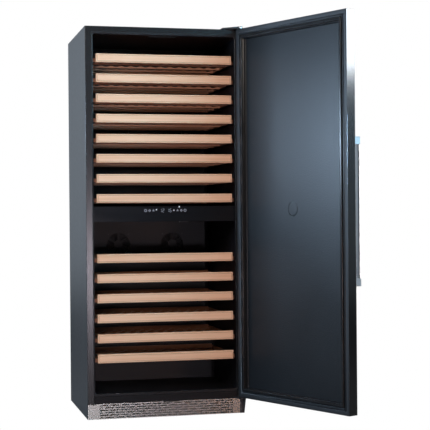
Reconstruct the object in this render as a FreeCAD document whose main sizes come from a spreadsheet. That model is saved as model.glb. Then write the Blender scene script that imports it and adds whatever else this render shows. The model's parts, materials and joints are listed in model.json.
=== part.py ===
"""Free-standing two-zone wine cooler, 706 mm wide, with its door standing open.

Frame: the origin is on the floor under the middle of the cabinet, +Z is up, the open front of the
cabinet faces -Y, and +X is to the right of someone who stands in front of it.
Heights in the table are above the floor of the cabinet body, which stands on four levelling feet.
Depths in the table are behind the plane of the cabinet's front frame.
"""
import FreeCAD
import Part
import math
import os
import re
from FreeCAD import Placement, Rotation, Vector

doc = FreeCAD.newDocument("wine_cooler")

# ---------------------------------------------------------------- driving dimensions (mm, degrees)
DIMENSIONS = {
    "body_width": 706, "body_depth": 600, "body_height": 1720, "foot_height": 8,
    "steel": 0.9, "plastic": 1.6, "flange_side": 27, "flange_top": 23, "flange_rear": 15,
    "kick_height": 67, "kick_thick": 1.2, "kick_flange": 15, "kick_notch_depth": 3,
    "sill_top": 99, "sill_thick": 3, "sill_gap": 3,
    "liner_width": 648, "liner_depth": 548, "liner_floor": 110, "liner_ceiling": 1687,
    "liner_round": 10, "lip_width": 642, "lip_outer": 652, "lip_low": 100, "lip_high": 1697,
    "lip_depth": 6, "lip_proud": 0.3,
    "step_front": 430, "step_top": 295, "bay_front": 455, "bay_top": 270, "foam_floor": 70,
    "divider_low": 862, "divider_high": 930, "divider_front": 14, "divider_wall": 2.5,
    "panel_front": 10, "duct_front": 500, "duct_width": 626, "duct_wall": 2.5, "duct_chamfer": 20,
    "vent_thick": 4.6, "vent_radius": 23.5, "vent_step": 7, "vent_screw": 48,
    "fan_spread": 263, "fan_low": 752, "fan_high": 1292, "fan_size": 120, "fan_thick": 25,
    "fan_bore": 56, "blade_tip": 53, "hub_radius": 18, "shaft_radius": 2, "shaft_clearance": 0.05,
    "shelf_width": 610, "bar_height": 38.4, "bar_depth": 22, "bar_round": 3, "rack_width": 632,
    "rail_width": 12, "rail_height": 16, "rail_rise": 3, "rack_depth": 490, "short_depth": 422,
    "board_depth": 27, "board_pitch": 125, "board_first": 88, "board_height": 11,
    "back_height": 26.4, "back_depth": 14,
    "groove_pitch": 45.6, "groove_radius": 31.5, "groove_depth": 5.5,
    "upper_first": 984.7, "upper_pitch": 88, "lower_first": 282.5, "lower_pitch": 87.74,
    "runner_thick": 2.5, "runner_gap": 0.4,
    "door_width": 706, "door_thick": 45, "door_low": 74, "door_high": 1718, "door_sheet": 1,
    "door_gap": 6, "pivot_edge": 11, "pivot_face": 17, "door_open": 114.5,
    "rim_width": 29, "seal_base": 12, "panel_inset": 45, "panel_step": 16, "panel_recess": 20,
    "panel_bevel": 3, "door_liner_thick": 24, "seal_inset": 30, "seal_width": 13.5, "seal_height": 5.5,
    "plug_radius": 30, "plug_height": 913, "plug_place": 351, "plug_thick": 3,
    "handle_low": 594, "handle_high": 1206, "handle_inset": 25, "handle_reach": 52,
    "handle_thick": 15, "handle_wide": 20, "post_tall": 32,
    "pin_radius": 5, "pin_clearance": 0.05, "pin_depth": 18, "bracket_thick": 3.5,
    "leg_width": 19, "foot_inset_x": 55, "foot_inset_y": 65, "foot_radius": 19, "stud_radius": 5,
    "gland_bore": 3.6, "gland_radius": 9, "gland_x": 300, "gland_height": 45,
    "motor_depth": 527, "compressor_x": -190, "compressor_radius": 62, "compressor_tall": 120,
    "compressor_base": 22, "mount_half_x": 95, "mount_half_y": 50, "mount_thick": 3,
    "condenser_x": 150, "condenser_long": 190, "condenser_half": 55, "condenser_low": 14,
    "condenser_high": 150, "rear_fan_x": 30, "rear_fan_height": 84,
    "tray_half": 80, "tray_front": 469, "tray_back": 585, "tray_low": 172, "tray_high": 196,
    "tray_wall": 2, "coil_half": 240, "coil_tall": 160, "coil_upper": 1400, "coil_lower": 470,
    "circuit_half": 115, "circuit_depth": 21, "circuit_thick": 1.6, "module_depth": 15,
    "module_low": 900, "module_high": 923, "lamp_thick": 3, "lamp_deep": 16, "lamp_low_x": 87,
    "lamp_low_half": 19, "lamp_low_depth": 20, "lamp_high_half": 60, "lamp_high_depth": 40,
    "vent_rows": 9, "vent_pitch": 13, "vent_first": 70, "vent_inner": 30, "vent_outer": 250,
    "roof_plate_left": 262, "roof_plate_front": 8, "roof_plate_back": 58, "tongue_half": 18,
    "tongue_reach": 14, "hood_tall": 12, "hood_thin": 1.5, "hood_deep": 60, "hood_proud": 12,
    "shelf_plate_left": 300, "leg_thick": 3, "screw_head": 4, "screw_rise": 2.2,
    "screw_shank": 1.9, "screw_long": 7,
}
sheet = doc.addObject("Spreadsheet::Sheet", "dims")
for row, (alias, value) in enumerate(DIMENSIONS.items(), start=1):
    sheet.set(f"A{row}", alias)
    sheet.set(f"B{row}", str(value))
    sheet.setAlias(f"B{row}", alias)
doc.recompute()

WORDS = re.compile(r"\b(" + "|".join(DIMENSIONS) + r")\b")
FRONT = "-body_depth/2"
BACK = "body_depth/2"
FLOOR = "foot_height"
TOP = "foot_height + body_height"
SIDE = "body_width/2"


def cell(alias):
    """The number that the sheet holds under an alias."""
    return float(sheet.get(alias))


def bound(text):
    """An expression of the table's words, in the sheet's own terms."""
    return WORDS.sub(r"dims.\1", str(text))


def number(text):
    """The value of an expression of the table's words."""
    value = sheet.evalExpression(bound(text))
    return float(getattr(value, "Value", value))


def up(text):
    """A height above the floor of the cabinet body."""
    return f"foot_height + ({text})"


def behind(text):
    """A depth behind the plane of the cabinet's front frame."""
    return f"({text}) - body_depth/2"


# ---------------------------------------------------------------- modelling helpers
def move(piece, x=None, y=None, z=None):
    """Bind a piece's place to the sheet."""
    for axis, text in zip("xyz", (x, y, z)):
        if text is not None:
            piece.setExpression(f"Placement.Base.{axis}", bound(text))
    return piece


def box(name, x, y, z):
    """A block between pairs of expressions along each axis."""
    piece = doc.addObject("Part::Box", name)
    for size, (low, high) in zip(("Length", "Width", "Height"), (x, y, z)):
        piece.setExpression(size, bound(f"({high}) - ({low})"))
    return move(piece, x[0], y[0], z[0])


AXES = {"x": Rotation(Vector(0, 1, 0), 90), "y": Rotation(Vector(1, 0, 0), -90), "z": Rotation()}


def rod(name, radius, length, at, axis="z"):
    """A cylinder from the point at, along +axis."""
    piece = doc.addObject("Part::Cylinder", name)
    piece.setExpression("Radius", bound(radius))
    piece.setExpression("Height", bound(length))
    piece.Placement = Placement(Vector(), AXES[axis])
    return move(piece, *at)


def compound(name, members):
    piece = doc.addObject("Part::Compound", name)
    piece.Links = members
    return piece


def fuse(name, *members):
    piece = doc.addObject("Part::MultiFuse", name)
    piece.Shapes = list(members)
    return piece


def cut(name, base, *tools):
    piece = doc.addObject("Part::Cut", name)
    piece.Base = base
    piece.Tool = tools[0] if len(tools) == 1 else compound(name + "_tools", list(tools))
    return piece


def rounded(name, base, radius, chosen, kind="Part::Fillet"):
    """Round or chamfer the edges for which chosen(centre, direction, edge) holds."""
    doc.recompute()
    picked = []
    for index, edge in enumerate(base.Shape.Edges, start=1):
        direction = edge.tangentAt(edge.FirstParameter)
        if chosen(edge.CenterOfMass, direction, edge):
            picked.append((index, radius, radius))
    if not picked:
        raise ValueError(f"{name} has no edge to round")
    piece = doc.addObject(kind, name)
    piece.Base = base
    piece.Edges = picked
    return piece


def along(direction, axis):
    return abs(getattr(direction, axis)) > 0.999


def near(a, b, slack=0.01):
    return abs(a - b) < slack


def ring(name, outer, inner, y, round_outer=0, round_inner=0):
    """A frame in the XZ plane: outer and inner are (x0, x1, z0, z1) expressions, y its two faces."""
    outside = box(name + "_outside", outer[:2], y, outer[2:])
    inside = box(name + "_inside", inner[:2], (f"{y[0]} - 5", f"{y[1]} + 5"), inner[2:])
    if round_outer:
        outside = rounded(name + "_outer", outside, round_outer, lambda c, d, e: along(d, "y"))
    if round_inner:
        inside = rounded(name + "_inner", inside, round_inner, lambda c, d, e: along(d, "y"))
    return cut(name, outside, inside)


def outline(name, points, plane):
    """A closed sketch of straight lines in the plane XY, XZ or YZ."""
    drawing = doc.addObject("Sketcher::SketchObject", name)
    drawing.Placement = Placement(Vector(), PLANES[plane])
    corners = [Vector(a, b, 0) for a, b in points]
    for start, end in zip(corners, corners[1:] + corners[:1]):
        drawing.addGeometry(Part.LineSegment(start, end), False)
    return drawing


PLANES = {
    "XY": Rotation(),
    "XZ": Rotation(Vector(1, 0, 0), 90),
    "YZ": Rotation(Vector(1, 1, 1), 120),
}


def extruded(name, drawing, direction, length):
    """A prism over a sketch; length is an expression."""
    piece = doc.addObject("Part::Extrusion", name)
    piece.Base = drawing
    piece.DirMode = "Custom"
    piece.Dir = direction
    piece.Solid = True
    piece.setExpression("LengthFwd", bound(length))
    return piece


def body_sketch(body, name, role):
    """A sketch on one of the body's own origin planes."""
    drawing = body.newObject("Sketcher::SketchObject", name)
    plane = next(f for f in body.Origin.OriginFeatures if f.Role == role)
    drawing.AttachmentSupport = (plane, [""])
    drawing.MapMode = "FlatFace"
    return drawing


def draw_rectangle(drawing, x0, y0, x1, y1):
    corners = [Vector(x0, y0, 0), Vector(x1, y0, 0), Vector(x1, y1, 0), Vector(x0, y1, 0)]
    for start, end in zip(corners, corners[1:] + corners[:1]):
        drawing.addGeometry(Part.LineSegment(start, end), False)


def draw_slot(drawing, x0, x1, y, half):
    """A slot with round ends between x0 and x1, lying along the sketch's x."""
    left, right = x0 + half, x1 - half
    drawing.addGeometry(Part.LineSegment(Vector(left, y - half, 0), Vector(right, y - half, 0)), False)
    drawing.addGeometry(Part.LineSegment(Vector(right, y + half, 0), Vector(left, y + half, 0)), False)
    for centre, turn in ((right, -90), (left, 90)):
        circle = Part.Circle(Vector(centre, y, 0), Vector(0, 0, 1), half)
        start = math.radians(turn)
        drawing.addGeometry(Part.ArcOfCircle(circle, start, start + math.pi), False)


def pad(body, name, drawing, length, reverse=False):
    piece = body.newObject("PartDesign::Pad", name)
    piece.Profile = drawing
    piece.Reversed = reverse
    piece.setExpression("Length", bound(length))
    return piece


def pocket_through(body, name, drawing, reverse=False):
    """Cut a sketch through the whole body, and make sure that it took something away."""
    before = body.Tip
    doc.recompute()
    volume = before.Shape.Volume
    piece = body.newObject("PartDesign::Pocket", name)
    piece.Profile = drawing
    piece.Type = "ThroughAll"
    piece.Reversed = reverse
    doc.recompute()
    if piece.Shape.Volume >= volume - 0.01:
        raise ValueError(f"{name} cuts nothing")
    return piece


NODES = []


def node(piece, label):
    """Name a finished sub-part; its label is the name of its file."""
    piece.Label = label
    NODES.append(piece)
    return piece


def placed(name, members, x=None, y=None, z=None, turn=None):
    """The members as one piece, moved and turned from where they were drawn."""
    piece = compound(name, members)
    if turn is not None:
        piece.Placement = Placement(Vector(), turn)
    return move(piece, x, y, z)


# ---------------------------------------------------------------- outer shell of the cabinet
def side_panel(label, sign):
    """Painted sheet: the side, its front flange above the kick plate, and a rear flange."""
    outer, inner = f"{sign}*{SIDE}", f"{sign}*({SIDE} - steel)"
    pairs = {
        "side": ((outer, inner), (FRONT, BACK), (FLOOR, TOP)),
        "front": ((outer, f"{sign}*({SIDE} - flange_side)"), (FRONT, f"{FRONT} + steel"),
                  (up("kick_height"), f"{TOP} - steel")),
        "rear": ((outer, f"{sign}*({SIDE} - flange_rear)"), (f"{BACK} - steel", BACK),
                 (FLOOR, f"{TOP} - steel")),
    }
    sheets = []
    for part, (x, y, z) in pairs.items():
        x = x if sign < 0 else x[::-1]
        sheets.append(box(f"{label}_{part}", x, y, z))
    folded = fuse(label + "_folded", *sheets)
    corner = sign * number(SIDE)
    bend = rounded(label + "_bent", folded, 1.5,
                   lambda c, d, e: along(d, "z") and near(c.x, corner) and e.Length > 600)
    return node(bend, label)


def top_panel():
    half = f"{SIDE} - steel"
    lid = box("top_sheet", (f"-({half})", half), (FRONT, BACK), (f"{TOP} - steel", TOP))
    inner = f"{SIDE} - flange_side"
    lip = box("top_lip", (f"-({inner})", inner), (FRONT, f"{FRONT} + steel"),
              (f"{TOP} - flange_top", f"{TOP} - steel"))
    folded = fuse("top_folded", lid, lip)
    return node(folded, "top_panel")


def back_panel():
    half = f"{SIDE} - flange_rear - 0.2"
    plate = box("back_sheet", (f"-({half})", half), (f"{BACK} - steel", BACK),
                (up("bay_top + 3"), f"{TOP} - steel"))
    return node(plate, "back_panel")


def foot_places():
    x, y = f"{SIDE} - foot_inset_x", "body_depth/2 - foot_inset_y"
    return [(sx + f"({x})", sy + f"({y})") for sx in "-+" for sy in "-+"]


def base_pan():
    half = f"{SIDE} - steel"
    tray = box("pan_sheet", (f"-({half})", half), (f"{FRONT} + kick_thick", f"{BACK} - steel"),
               (FLOOR, up("1.5")))
    wall = box("pan_wall", (f"-({half})", half), (f"{BACK} - steel - 1.5", f"{BACK} - steel"),
               (up("1.5"), up("14")))
    holes = [rod(f"pan_hole_{i}", "stud_radius + 0.3", 10, (x, y, up("-2")))
             for i, (x, y) in enumerate(foot_places())]
    return node(cut("pan", fuse("pan_folded", tray, wall), *holes), "base_pan")


def levelling_feet():
    """Four feet: a round pad under the pan, and a threaded stud that rises through it."""
    feet = []
    for i, (x, y) in enumerate(foot_places()):
        disc = rod(f"foot_pad_{i}", "foot_radius", "foot_height", (x, y, "0"))
        rim = cell("foot_height")
        disc = rounded(f"foot_disc_{i}", disc, 1.5, lambda c, d, e: near(c.z, rim) and e.Length > 50)
        stud = rod(f"foot_stud_{i}", "stud_radius", "foot_height + 18", (x, y, "0"))
        feet.append(fuse(f"foot_{i}", disc, stud))
    return node(compound("feet", feet), "levelling_feet")


def sill():
    """Dark rail between the kick plate and the opening, with a joint line at each end."""
    half = f"{SIDE} - flange_side - sill_gap"
    rail = box("sill_rail", (f"-({half})", half), (FRONT, f"{FRONT} + sill_thick"),
               (up("kick_height"), up("sill_top")))
    soft = rounded("sill_soft", rail, 1.2, lambda c, d, e: near(c.y, number(FRONT)))
    return node(soft, "lower_front_rail")


def kick_plate():
    """Stainless plate with six rows of slots laid like bricks and a flange along its top."""
    body = doc.addObject("PartDesign::Body", "kick_body")
    half, height = number(f"{SIDE} - steel"), cell("kick_height")
    shoulder, lower, notch = 317, 2, (-20, 54)
    deep = cell("kick_notch_depth")
    drawing = body_sketch(body, "kick_outline", "XZ_Plane")
    top = [(half, height - lower), (shoulder, height - lower), (shoulder, height),
           (notch[1], height), (notch[1] - deep, height - deep), (notch[0] + deep, height - deep),
           (notch[0], height), (-shoulder, height), (-shoulder, height - lower),
           (-half, height - lower)]
    corners = [Vector(x, z, 0) for x, z in [(-half, 0), (half, 0)] + top]
    for start, end in zip(corners, corners[1:] + corners[:1]):
        drawing.addGeometry(Part.LineSegment(start, end), False)
    pad(body, "kick_sheet", drawing, "kick_thick")
    doc.recompute()
    slots = body_sketch(body, "kick_slots", "XZ_Plane")
    limit, long, pitch, tall = 300.8, 39.4, 47.2, 4.5
    rows, lowest, step = 6, 6.5, 10.54
    for row in range(rows):
        start = -limit - (pitch / 2 if row % 2 == 0 else 0)
        while start < limit - 2 * tall:
            x0, x1 = max(start, -limit), min(start + long, limit)
            draw_slot(slots, x0, x1, lowest + step * row, tall / 2)
            start += pitch
    pocket_through(body, "kick_vents", slots, reverse=True)
    body.Placement = Placement(Vector(), Rotation())
    move(body, 0, f"{FRONT} + kick_thick", FLOOR)
    lip = box("kick_lip", (f"-{shoulder}", notch[0]), (f"{FRONT} + kick_thick", f"{FRONT} + kick_flange"),
              (up("kick_height - kick_thick"), up("kick_height")))
    other = box("kick_lip_right", (notch[1], shoulder), (f"{FRONT} + kick_thick", f"{FRONT} + kick_flange"),
                (up("kick_height - kick_thick"), up("kick_height")))
    return node(fuse("kick", body, lip, other), "kick_plate")


# ---------------------------------------------------------------- liner, foam and bulkhead
def liner_block(name, grow, deep, front, step):
    """A block the size of the food space, grown by the wall, with the step over the motor bay."""
    half = f"liner_width/2 + {grow}"
    block = box(name + "_block", (f"-({half})", half), (front, behind(deep)),
                (up(f"liner_floor - {grow}"), up(f"liner_ceiling + {grow}")))
    round_radius = cell("liner_round") + number(grow)
    soft = rounded(name + "_soft", block, round_radius, lambda c, d, e: along(d, "y"))
    away = box(name + "_step", (f"-({half}) - 5", f"{half} + 5"), (behind(step[0]), behind("body_depth")),
               (FLOOR, up(step[1])))
    return cut(name, soft, away)


def inner_liner():
    hollow = liner_block("liner_hollow", "0", "liner_depth", f"{FRONT} - 5", ("step_front", "step_top"))
    skin = liner_block("liner_outer", "plastic", "liner_depth + plastic", f"{FRONT} + lip_depth",
                       ("step_front + plastic", "step_top - plastic"))
    lip = ring("liner_lip", ("-lip_outer/2", "lip_outer/2", up("lip_low"), up("lip_high")),
               ("-lip_width/2", "lip_width/2", up("liner_floor"), up("liner_ceiling")),
               (f"{FRONT} - lip_proud", f"{FRONT} + lip_depth"), round_inner=cell("liner_round"))
    front = number(f"{FRONT} - lip_proud")
    inside = number("lip_width/2") + 0.5
    soft = rounded("liner_lip_soft", lip, 2.5,
                   lambda c, d, e: near(c.y, front) and abs(c.x) < inside
                   and number(up("liner_floor")) - 1 < c.z < number(up("liner_ceiling")) + 1)
    shell = cut("liner_shell", skin, hollow)
    return node(fuse("liner", shell, soft), "inner_liner"), skin


def insulation(liner_outside):
    half = f"{SIDE} - steel"
    block = box("foam_block", (f"-({half})", half), (f"{FRONT} + lip_depth", f"{BACK} - steel"),
                (up("foam_floor"), f"{TOP} - steel"))
    bay = box("foam_bay", (f"-({half}) - 5", f"{half} + 5"), (behind("bay_front"), behind("body_depth + 5")),
              (FLOOR, up("bay_top")))
    return node(cut("foam", block, liner_outside, bay), "insulation_foam")


def bulkhead():
    """Sheet under the foam: over the air channel, up behind the step and over the motor bay."""
    half = f"{SIDE} - steel"
    x = (f"-({half})", half)
    sheets = [
        box("bulkhead_low", x, (f"{FRONT} + lip_depth", behind("bay_front + 0.8")),
            (up("foam_floor - 0.8"), up("foam_floor"))),
        box("bulkhead_wall", x, (behind("bay_front"), behind("bay_front + 0.8")),
            (up("foam_floor"), up("bay_top"))),
        box("bulkhead_roof", x, (behind("bay_front"), f"{BACK} - steel"),
            (up("bay_top - 0.8"), up("bay_top"))),
    ]
    return node(fuse("bulkhead", *sheets), "compartment_bulkhead")


# ---------------------------------------------------------------- divider and controls
def divider():
    """Hollow shelf between the zones, open at the front behind the control panel."""
    half = "liner_width/2"
    block = box("divider_block", (f"-{half}", half), (behind("divider_front"), behind("liner_depth")),
                (up("divider_low"), up("divider_high")))
    hollow = box("divider_hollow", (f"-{half} + divider_wall", f"{half} - divider_wall"),
                 (behind("divider_front - 5"), behind("liner_depth - divider_wall")),
                 (up("divider_low + divider_wall"), up("divider_high - divider_wall")))
    return node(cut("divider", block, hollow), "divider_shell")


def control_panel():
    half = "lip_width/2 - 0.5"
    plate = box("panel_plate", (f"-({half})", half), (behind("panel_front"), behind("divider_front")),
                (up("divider_low"), up("divider_high")))
    edge = number(behind("panel_front"))
    soft = rounded("panel_soft", plate, 1.5, lambda c, d, e: near(c.y, edge))
    return node(soft, "control_panel")


def control_board():
    """Circuit board behind the panel, with the display module on its front."""
    board = box("board_plate", ("-circuit_half", "circuit_half"),
                (behind("circuit_depth"), behind("circuit_depth + circuit_thick")),
                (up("divider_low + 12"), up("divider_high - 6")))
    module = box("board_module", ("-97", "99"), (behind("module_depth"), behind("circuit_depth")),
                 (up("module_low"), up("module_high")))
    return node(fuse("board", board, module), "control_board")


def zone_lamps():
    """One lamp under the divider and one under the ceiling."""
    low = box("lamp_low", ("lamp_low_x - lamp_low_half", "lamp_low_x + lamp_low_half"),
              (behind("lamp_low_depth"), behind("lamp_low_depth + lamp_deep")),
              (up("divider_low - lamp_thick"), up("divider_low")))
    high = box("lamp_high", ("-lamp_high_half", "lamp_high_half"),
               (behind("lamp_high_depth"), behind("lamp_high_depth + lamp_deep")),
               (up("liner_ceiling - lamp_thick"), up("liner_ceiling")))
    return node(compound("lamps", [low, high]), "zone_lamps")


# ---------------------------------------------------------------- air ducts, fans, evaporators
def grille_slots(name, x, height):
    """Five rings of slots in front of a fan, broken by six ribs, and four screw holes round them."""
    rings = []
    for i in range(5):
        at = (x, behind("duct_front - 3"), up(height))
        radius = f"vent_radius + vent_step*{i}"
        wide = rod(f"{name}_wide_{i}", f"{radius} + vent_thick/2", 12, at, "y")
        small = rod(f"{name}_small_{i}", f"{radius} - vent_thick/2", 12, at, "y")
        rings.append(cut(f"{name}_ring_{i}", wide, small))
    ribs = []
    for i in range(3):
        rib = doc.addObject("Part::Box", f"{name}_rib_{i}")
        rib.Length, rib.Width, rib.Height = 140, 16, 5
        turn = Rotation(Vector(0, 1, 0), 90 + 60 * i)
        centre = Vector(70, 8, 2.5)
        rib.Placement = Placement(Vector(), turn).multiply(Placement(-centre, Rotation()))
        ribs.append(rib)
    star = placed(f"{name}_star", ribs, x, behind("duct_front"), up(height))
    corners = [rod(f"{name}_screw_{i}", 2.6, 12,
                   (f"{x} {a} vent_screw", behind("duct_front - 3"), up(f"{height} {b} vent_screw")), "y")
               for i, (a, b) in enumerate(("++", "+-", "-+", "--"))]
    return compound(name, [cut(f"{name}_slots", compound(f"{name}_rings", rings), star), *corners])


def duct_cover(label, low, high, fan):
    """Tray over the evaporator, with a fan grille left and right."""
    half = "duct_width/2"
    block = box(label + "_block", (f"-{half}", half), (behind("duct_front"), behind("liner_depth")),
                (up(low), up(high)))
    edge = number(behind("duct_front"))
    eased = rounded(label + "_eased", block, cell("duct_chamfer"),
                    lambda c, d, e: along(d, "z") and near(c.y, edge), "Part::Chamfer")
    inside = f"{half} - duct_wall - duct_chamfer"
    hollow = box(label + "_hollow", (f"-({inside})", inside),
                 (behind("duct_front + duct_wall"), behind("liner_depth + 5")),
                 (up(f"{low} + duct_wall"), up(f"{high} - duct_wall")))
    vents = [grille_slots(f"{label}_vent_{side}", f"{sign}fan_spread/2", fan)
             for side, sign in (("left", "-"), ("right", "+"))]
    return node(cut(label, eased, hollow, *vents), label)


def fan_housing_master():
    """Square fan frame about the +Y axis: its front at y 0, with three arms and a motor seat."""
    half = "fan_size/2"
    frame = box("fan_frame", (f"-{half}", half), ("0", "fan_thick"), (f"-{half}", half))
    soft = rounded("fan_frame_soft", frame, 6, lambda c, d, e: along(d, "y"))
    bore = rod("fan_bore_hole", "fan_bore", "fan_thick + 10", ("0", "-5", "0"), "y")
    holes = [rod(f"fan_screw_hole_{i}", 2.2, "fan_thick + 10", (f"{a}52.5", "-5", f"{b}52.5"), "y")
             for i, (a, b) in enumerate(("++", "+-", "-+", "--"))]
    opened = cut("fan_frame_open", soft, bore, *holes)
    arms = []
    for i in range(3):
        arm = doc.addObject("Part::Box", f"fan_arm_{i}")
        arm.Length, arm.Width, arm.Height = cell("fan_bore") + 2, 4, 6
        turn = Rotation(Vector(0, 1, 0), 120 * i + 30)
        arm.Placement = Placement(Vector(0, cell("fan_thick") - 4, 0), turn).multiply(
            Placement(Vector(0, 0, -3), Rotation()))
        arms.append(arm)
    seat = rod("fan_seat", "hub_radius - 1", 4, ("0", "fan_thick - 4", "0"), "y")
    shaft = rod("fan_shaft_hole", "shaft_radius + shaft_clearance", 10, ("0", "fan_thick - 7", "0"), "y")
    return cut("fan_housing", fuse("fan_housing_solid", opened, seat, *arms), shaft)


def fan_rotor_master():
    """Hub, seven blades and the shaft, about the +Y axis."""
    hub_deep, front = 16, 3
    hub = rod("rotor_hub", "hub_radius", hub_deep, ("0", str(front), "0"), "y")
    hub = rounded("rotor_hub_soft", hub, 2, lambda c, d, e: near(c.y, front) and e.Length > 50)
    shaft = rod("rotor_shaft", "shaft_radius", "fan_thick - 4", ("0", "3", "0"), "y")
    blades = []
    for i in range(7):
        blade = doc.addObject("Part::Box", f"rotor_blade_{i}")
        blade.Length, blade.Width, blade.Height = cell("blade_tip") - 15, 1.6, 24
        pitch = Rotation(Vector(1, 0, 0), 32)
        turn = Rotation(Vector(0, 1, 0), 360 / 7 * i)
        blade.Placement = Placement(Vector(0, 11, 0), turn).multiply(
            Placement(Vector(), pitch)).multiply(Placement(Vector(15, -0.8, -12), Rotation()))
        blades.append(blade)
    sweep = rod("rotor_sweep", "blade_tip", "hub_radius - 1", ("0", "2.5", "0"), "y")
    trimmed = doc.addObject("Part::MultiCommon", "rotor_blades")
    trimmed.Shapes = [fuse("rotor_vanes", *blades), sweep]
    return fuse("fan_rotor", hub, shaft, trimmed)


FAN_BEHIND = "duct_front + duct_wall + 0.5"


def zone_fans(housing, rotor):
    """Two fans behind each grille, and the condenser's fan in the motor bay."""
    frames = []
    for zone, height in (("upper", "fan_high"), ("lower", "fan_low")):
        for side, sign in (("left", "-"), ("right", "+")):
            name = f"{zone}_{side}"
            at = (f"{sign}fan_spread/2", behind(FAN_BEHIND), up(height))
            frames.append(placed(f"frame_{name}", [housing], *at))
            node(placed(f"rotor_{name}", [rotor], *at), f"fan_rotor_{name}")
    sideways = Rotation(Vector(0, 0, 1), -90)
    at = ("rear_fan_x", behind("motor_depth"), up("rear_fan_height"))
    frames.append(placed("frame_rear", [housing], *at, turn=sideways))
    node(placed("rotor_rear", [rotor], *at, turn=sideways), "fan_rotor_condenser")
    node(compound("fan_frames", frames), "fan_housings")


def finned_coil(name, x, y, z, fins, rows):
    """Tubes that run along X through upright fins; x, y and z are (low, high) numbers."""
    pieces = []
    long = x[1] - x[0]
    for i in range(fins):
        place = x[0] + 6 + (long - 12) * i / (fins - 1)
        fin = doc.addObject("Part::Box", f"{name}_fin_{i}")
        fin.Length, fin.Width, fin.Height = 1.2, y[1] - y[0], z[1] - z[0]
        fin.Placement.Base = Vector(place - 0.6, y[0], z[0])
        pieces.append(fin)
    for i in range(rows):
        height = z[0] + (z[1] - z[0]) * (i + 0.5) / rows
        for j, depth in enumerate((0.3, 0.7)):
            tube = doc.addObject("Part::Cylinder", f"{name}_tube_{i}_{j}")
            tube.Radius, tube.Height = 4, long
            place = Vector(x[0], y[0] + (y[1] - y[0]) * depth, height)
            tube.Placement = Placement(place, AXES["x"])
            pieces.append(tube)
    return fuse(name, *pieces)


def evaporators():
    deep = (number(behind("duct_front + 31")), number(behind("liner_depth - 3")))
    half = cell("coil_half")
    for zone in ("upper", "lower"):
        tall = (number(up(f"coil_{zone}")), number(up(f"coil_{zone} + coil_tall")))
        coil = finned_coil(f"evaporator_{zone}", (-half, half), deep, tall, 25, 4)
        node(coil, f"evaporator_{zone}")


# ---------------------------------------------------------------- motor bay
def compressor():
    """Welded can on a mounting plate, with a domed lid and three tube stubs."""
    centre = behind("motor_depth")
    seat = "compressor_base + mount_thick"
    plate = box("compressor_plate", ("compressor_x - mount_half_x", "compressor_x + mount_half_x"),
                (f"{centre} - mount_half_y", f"{centre} + mount_half_y"),
                (up("compressor_base"), up(seat)))
    can = rod("compressor_can", "compressor_radius", "compressor_tall", ("compressor_x", centre, up(seat)))
    edge = number(up(f"{seat} + compressor_tall"))
    lid = rounded("compressor_lid", can, 24, lambda c, d, e: near(c.z, edge) and e.Length > 50)
    stubs = [rod(f"compressor_stub_{i}", 4, 26,
                 (f"compressor_x + compressor_radius - 6", centre, up(f"compressor_base + {rise}")), "x")
             for i, rise in enumerate((40, 65, 90))]
    return node(fuse("compressor_body", plate, lid, *stubs), "compressor")


def grommets():
    """Four rubber mounts between the pan and the compressor's plate."""
    centre = behind("motor_depth")
    mounts = [rod(f"grommet_{i}", 10, "compressor_base - 1.5",
                  (f"compressor_x {a} 80", f"{centre} {b} 38", up("1.5")))
              for i, (a, b) in enumerate(("++", "+-", "-+", "--"))]
    return node(compound("grommets", mounts), "compressor_grommets")


def condenser():
    centre, half = number(behind("motor_depth")), cell("condenser_half")
    start = cell("condenser_x") - cell("condenser_long") / 2
    tall = (number(up("condenser_low")), number(up("condenser_high")))
    coil = finned_coil("condenser_coil", (start, start + cell("condenser_long")),
                       (centre - half, centre + half), tall, 22, 5)
    return node(coil, "condenser")


def drip_tray():
    """Shallow pan over the compressor that catches the water from the evaporators."""
    tray = box("tray_block", ("compressor_x - tray_half", "compressor_x + tray_half"),
               (behind("tray_front"), behind("tray_back")), (up("tray_low"), up("tray_high")))
    hollow = box("tray_hollow",
                 ("compressor_x - tray_half + tray_wall", "compressor_x + tray_half - tray_wall"),
                 (behind("tray_front + tray_wall"), behind("tray_back - tray_wall")),
                 (up("tray_low + tray_wall"), up("tray_high + 5")))
    return node(cut("tray", tray, hollow), "drip_tray")


def rear_cover():
    """Sheet over the motor bay with a row of upright vents and a hole for the cable gland."""
    body = doc.addObject("PartDesign::Body", "rear_body")
    half = number(f"{SIDE} - flange_rear - 0.2")
    drawing = body_sketch(body, "rear_outline", "YZ_Plane")
    draw_rectangle(drawing, -half, 14.2, half, cell("bay_top") + 2.5)
    pad(body, "rear_sheet", drawing, "steel")
    doc.recompute()
    vents = body_sketch(body, "rear_slots", "YZ_Plane")
    for row in range(int(cell("vent_rows"))):
        height = cell("vent_first") + row * cell("vent_pitch")
        for side in (-1, 1):
            inner, outer = side * cell("vent_inner"), side * cell("vent_outer")
            draw_slot(vents, min(inner, outer), max(inner, outer), height, 3)
    pocket_through(body, "rear_vents", vents, reverse=True)
    body.Placement = Placement(Vector(), Rotation(Vector(0, 0, 1), 90))
    move(body, 0, f"{BACK} - steel", FLOOR)
    hole = rod("rear_gland_hole", "gland_radius + 0.1", 20,
               ("gland_x", f"{BACK} - 10", up("gland_height")), "y")
    return node(cut("rear", body, hole), "rear_cover")


def cable_gland():
    """Flanged bush in the rear cover that the mains lead would leave by."""
    at = ("gland_x", f"{BACK} - 10", up("gland_height"))
    sleeve = rod("gland_sleeve", "gland_radius", 10, at, "y")
    flange = rod("gland_flange", "gland_radius + 4", 3, ("gland_x", BACK, up("gland_height")), "y")
    bore = rod("gland_hole", "gland_bore", 20, ("gland_x", f"{BACK} - 12", up("gland_height")), "y")
    return node(cut("gland", fuse("gland_solid", sleeve, flange), bore), "cable_gland")


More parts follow.
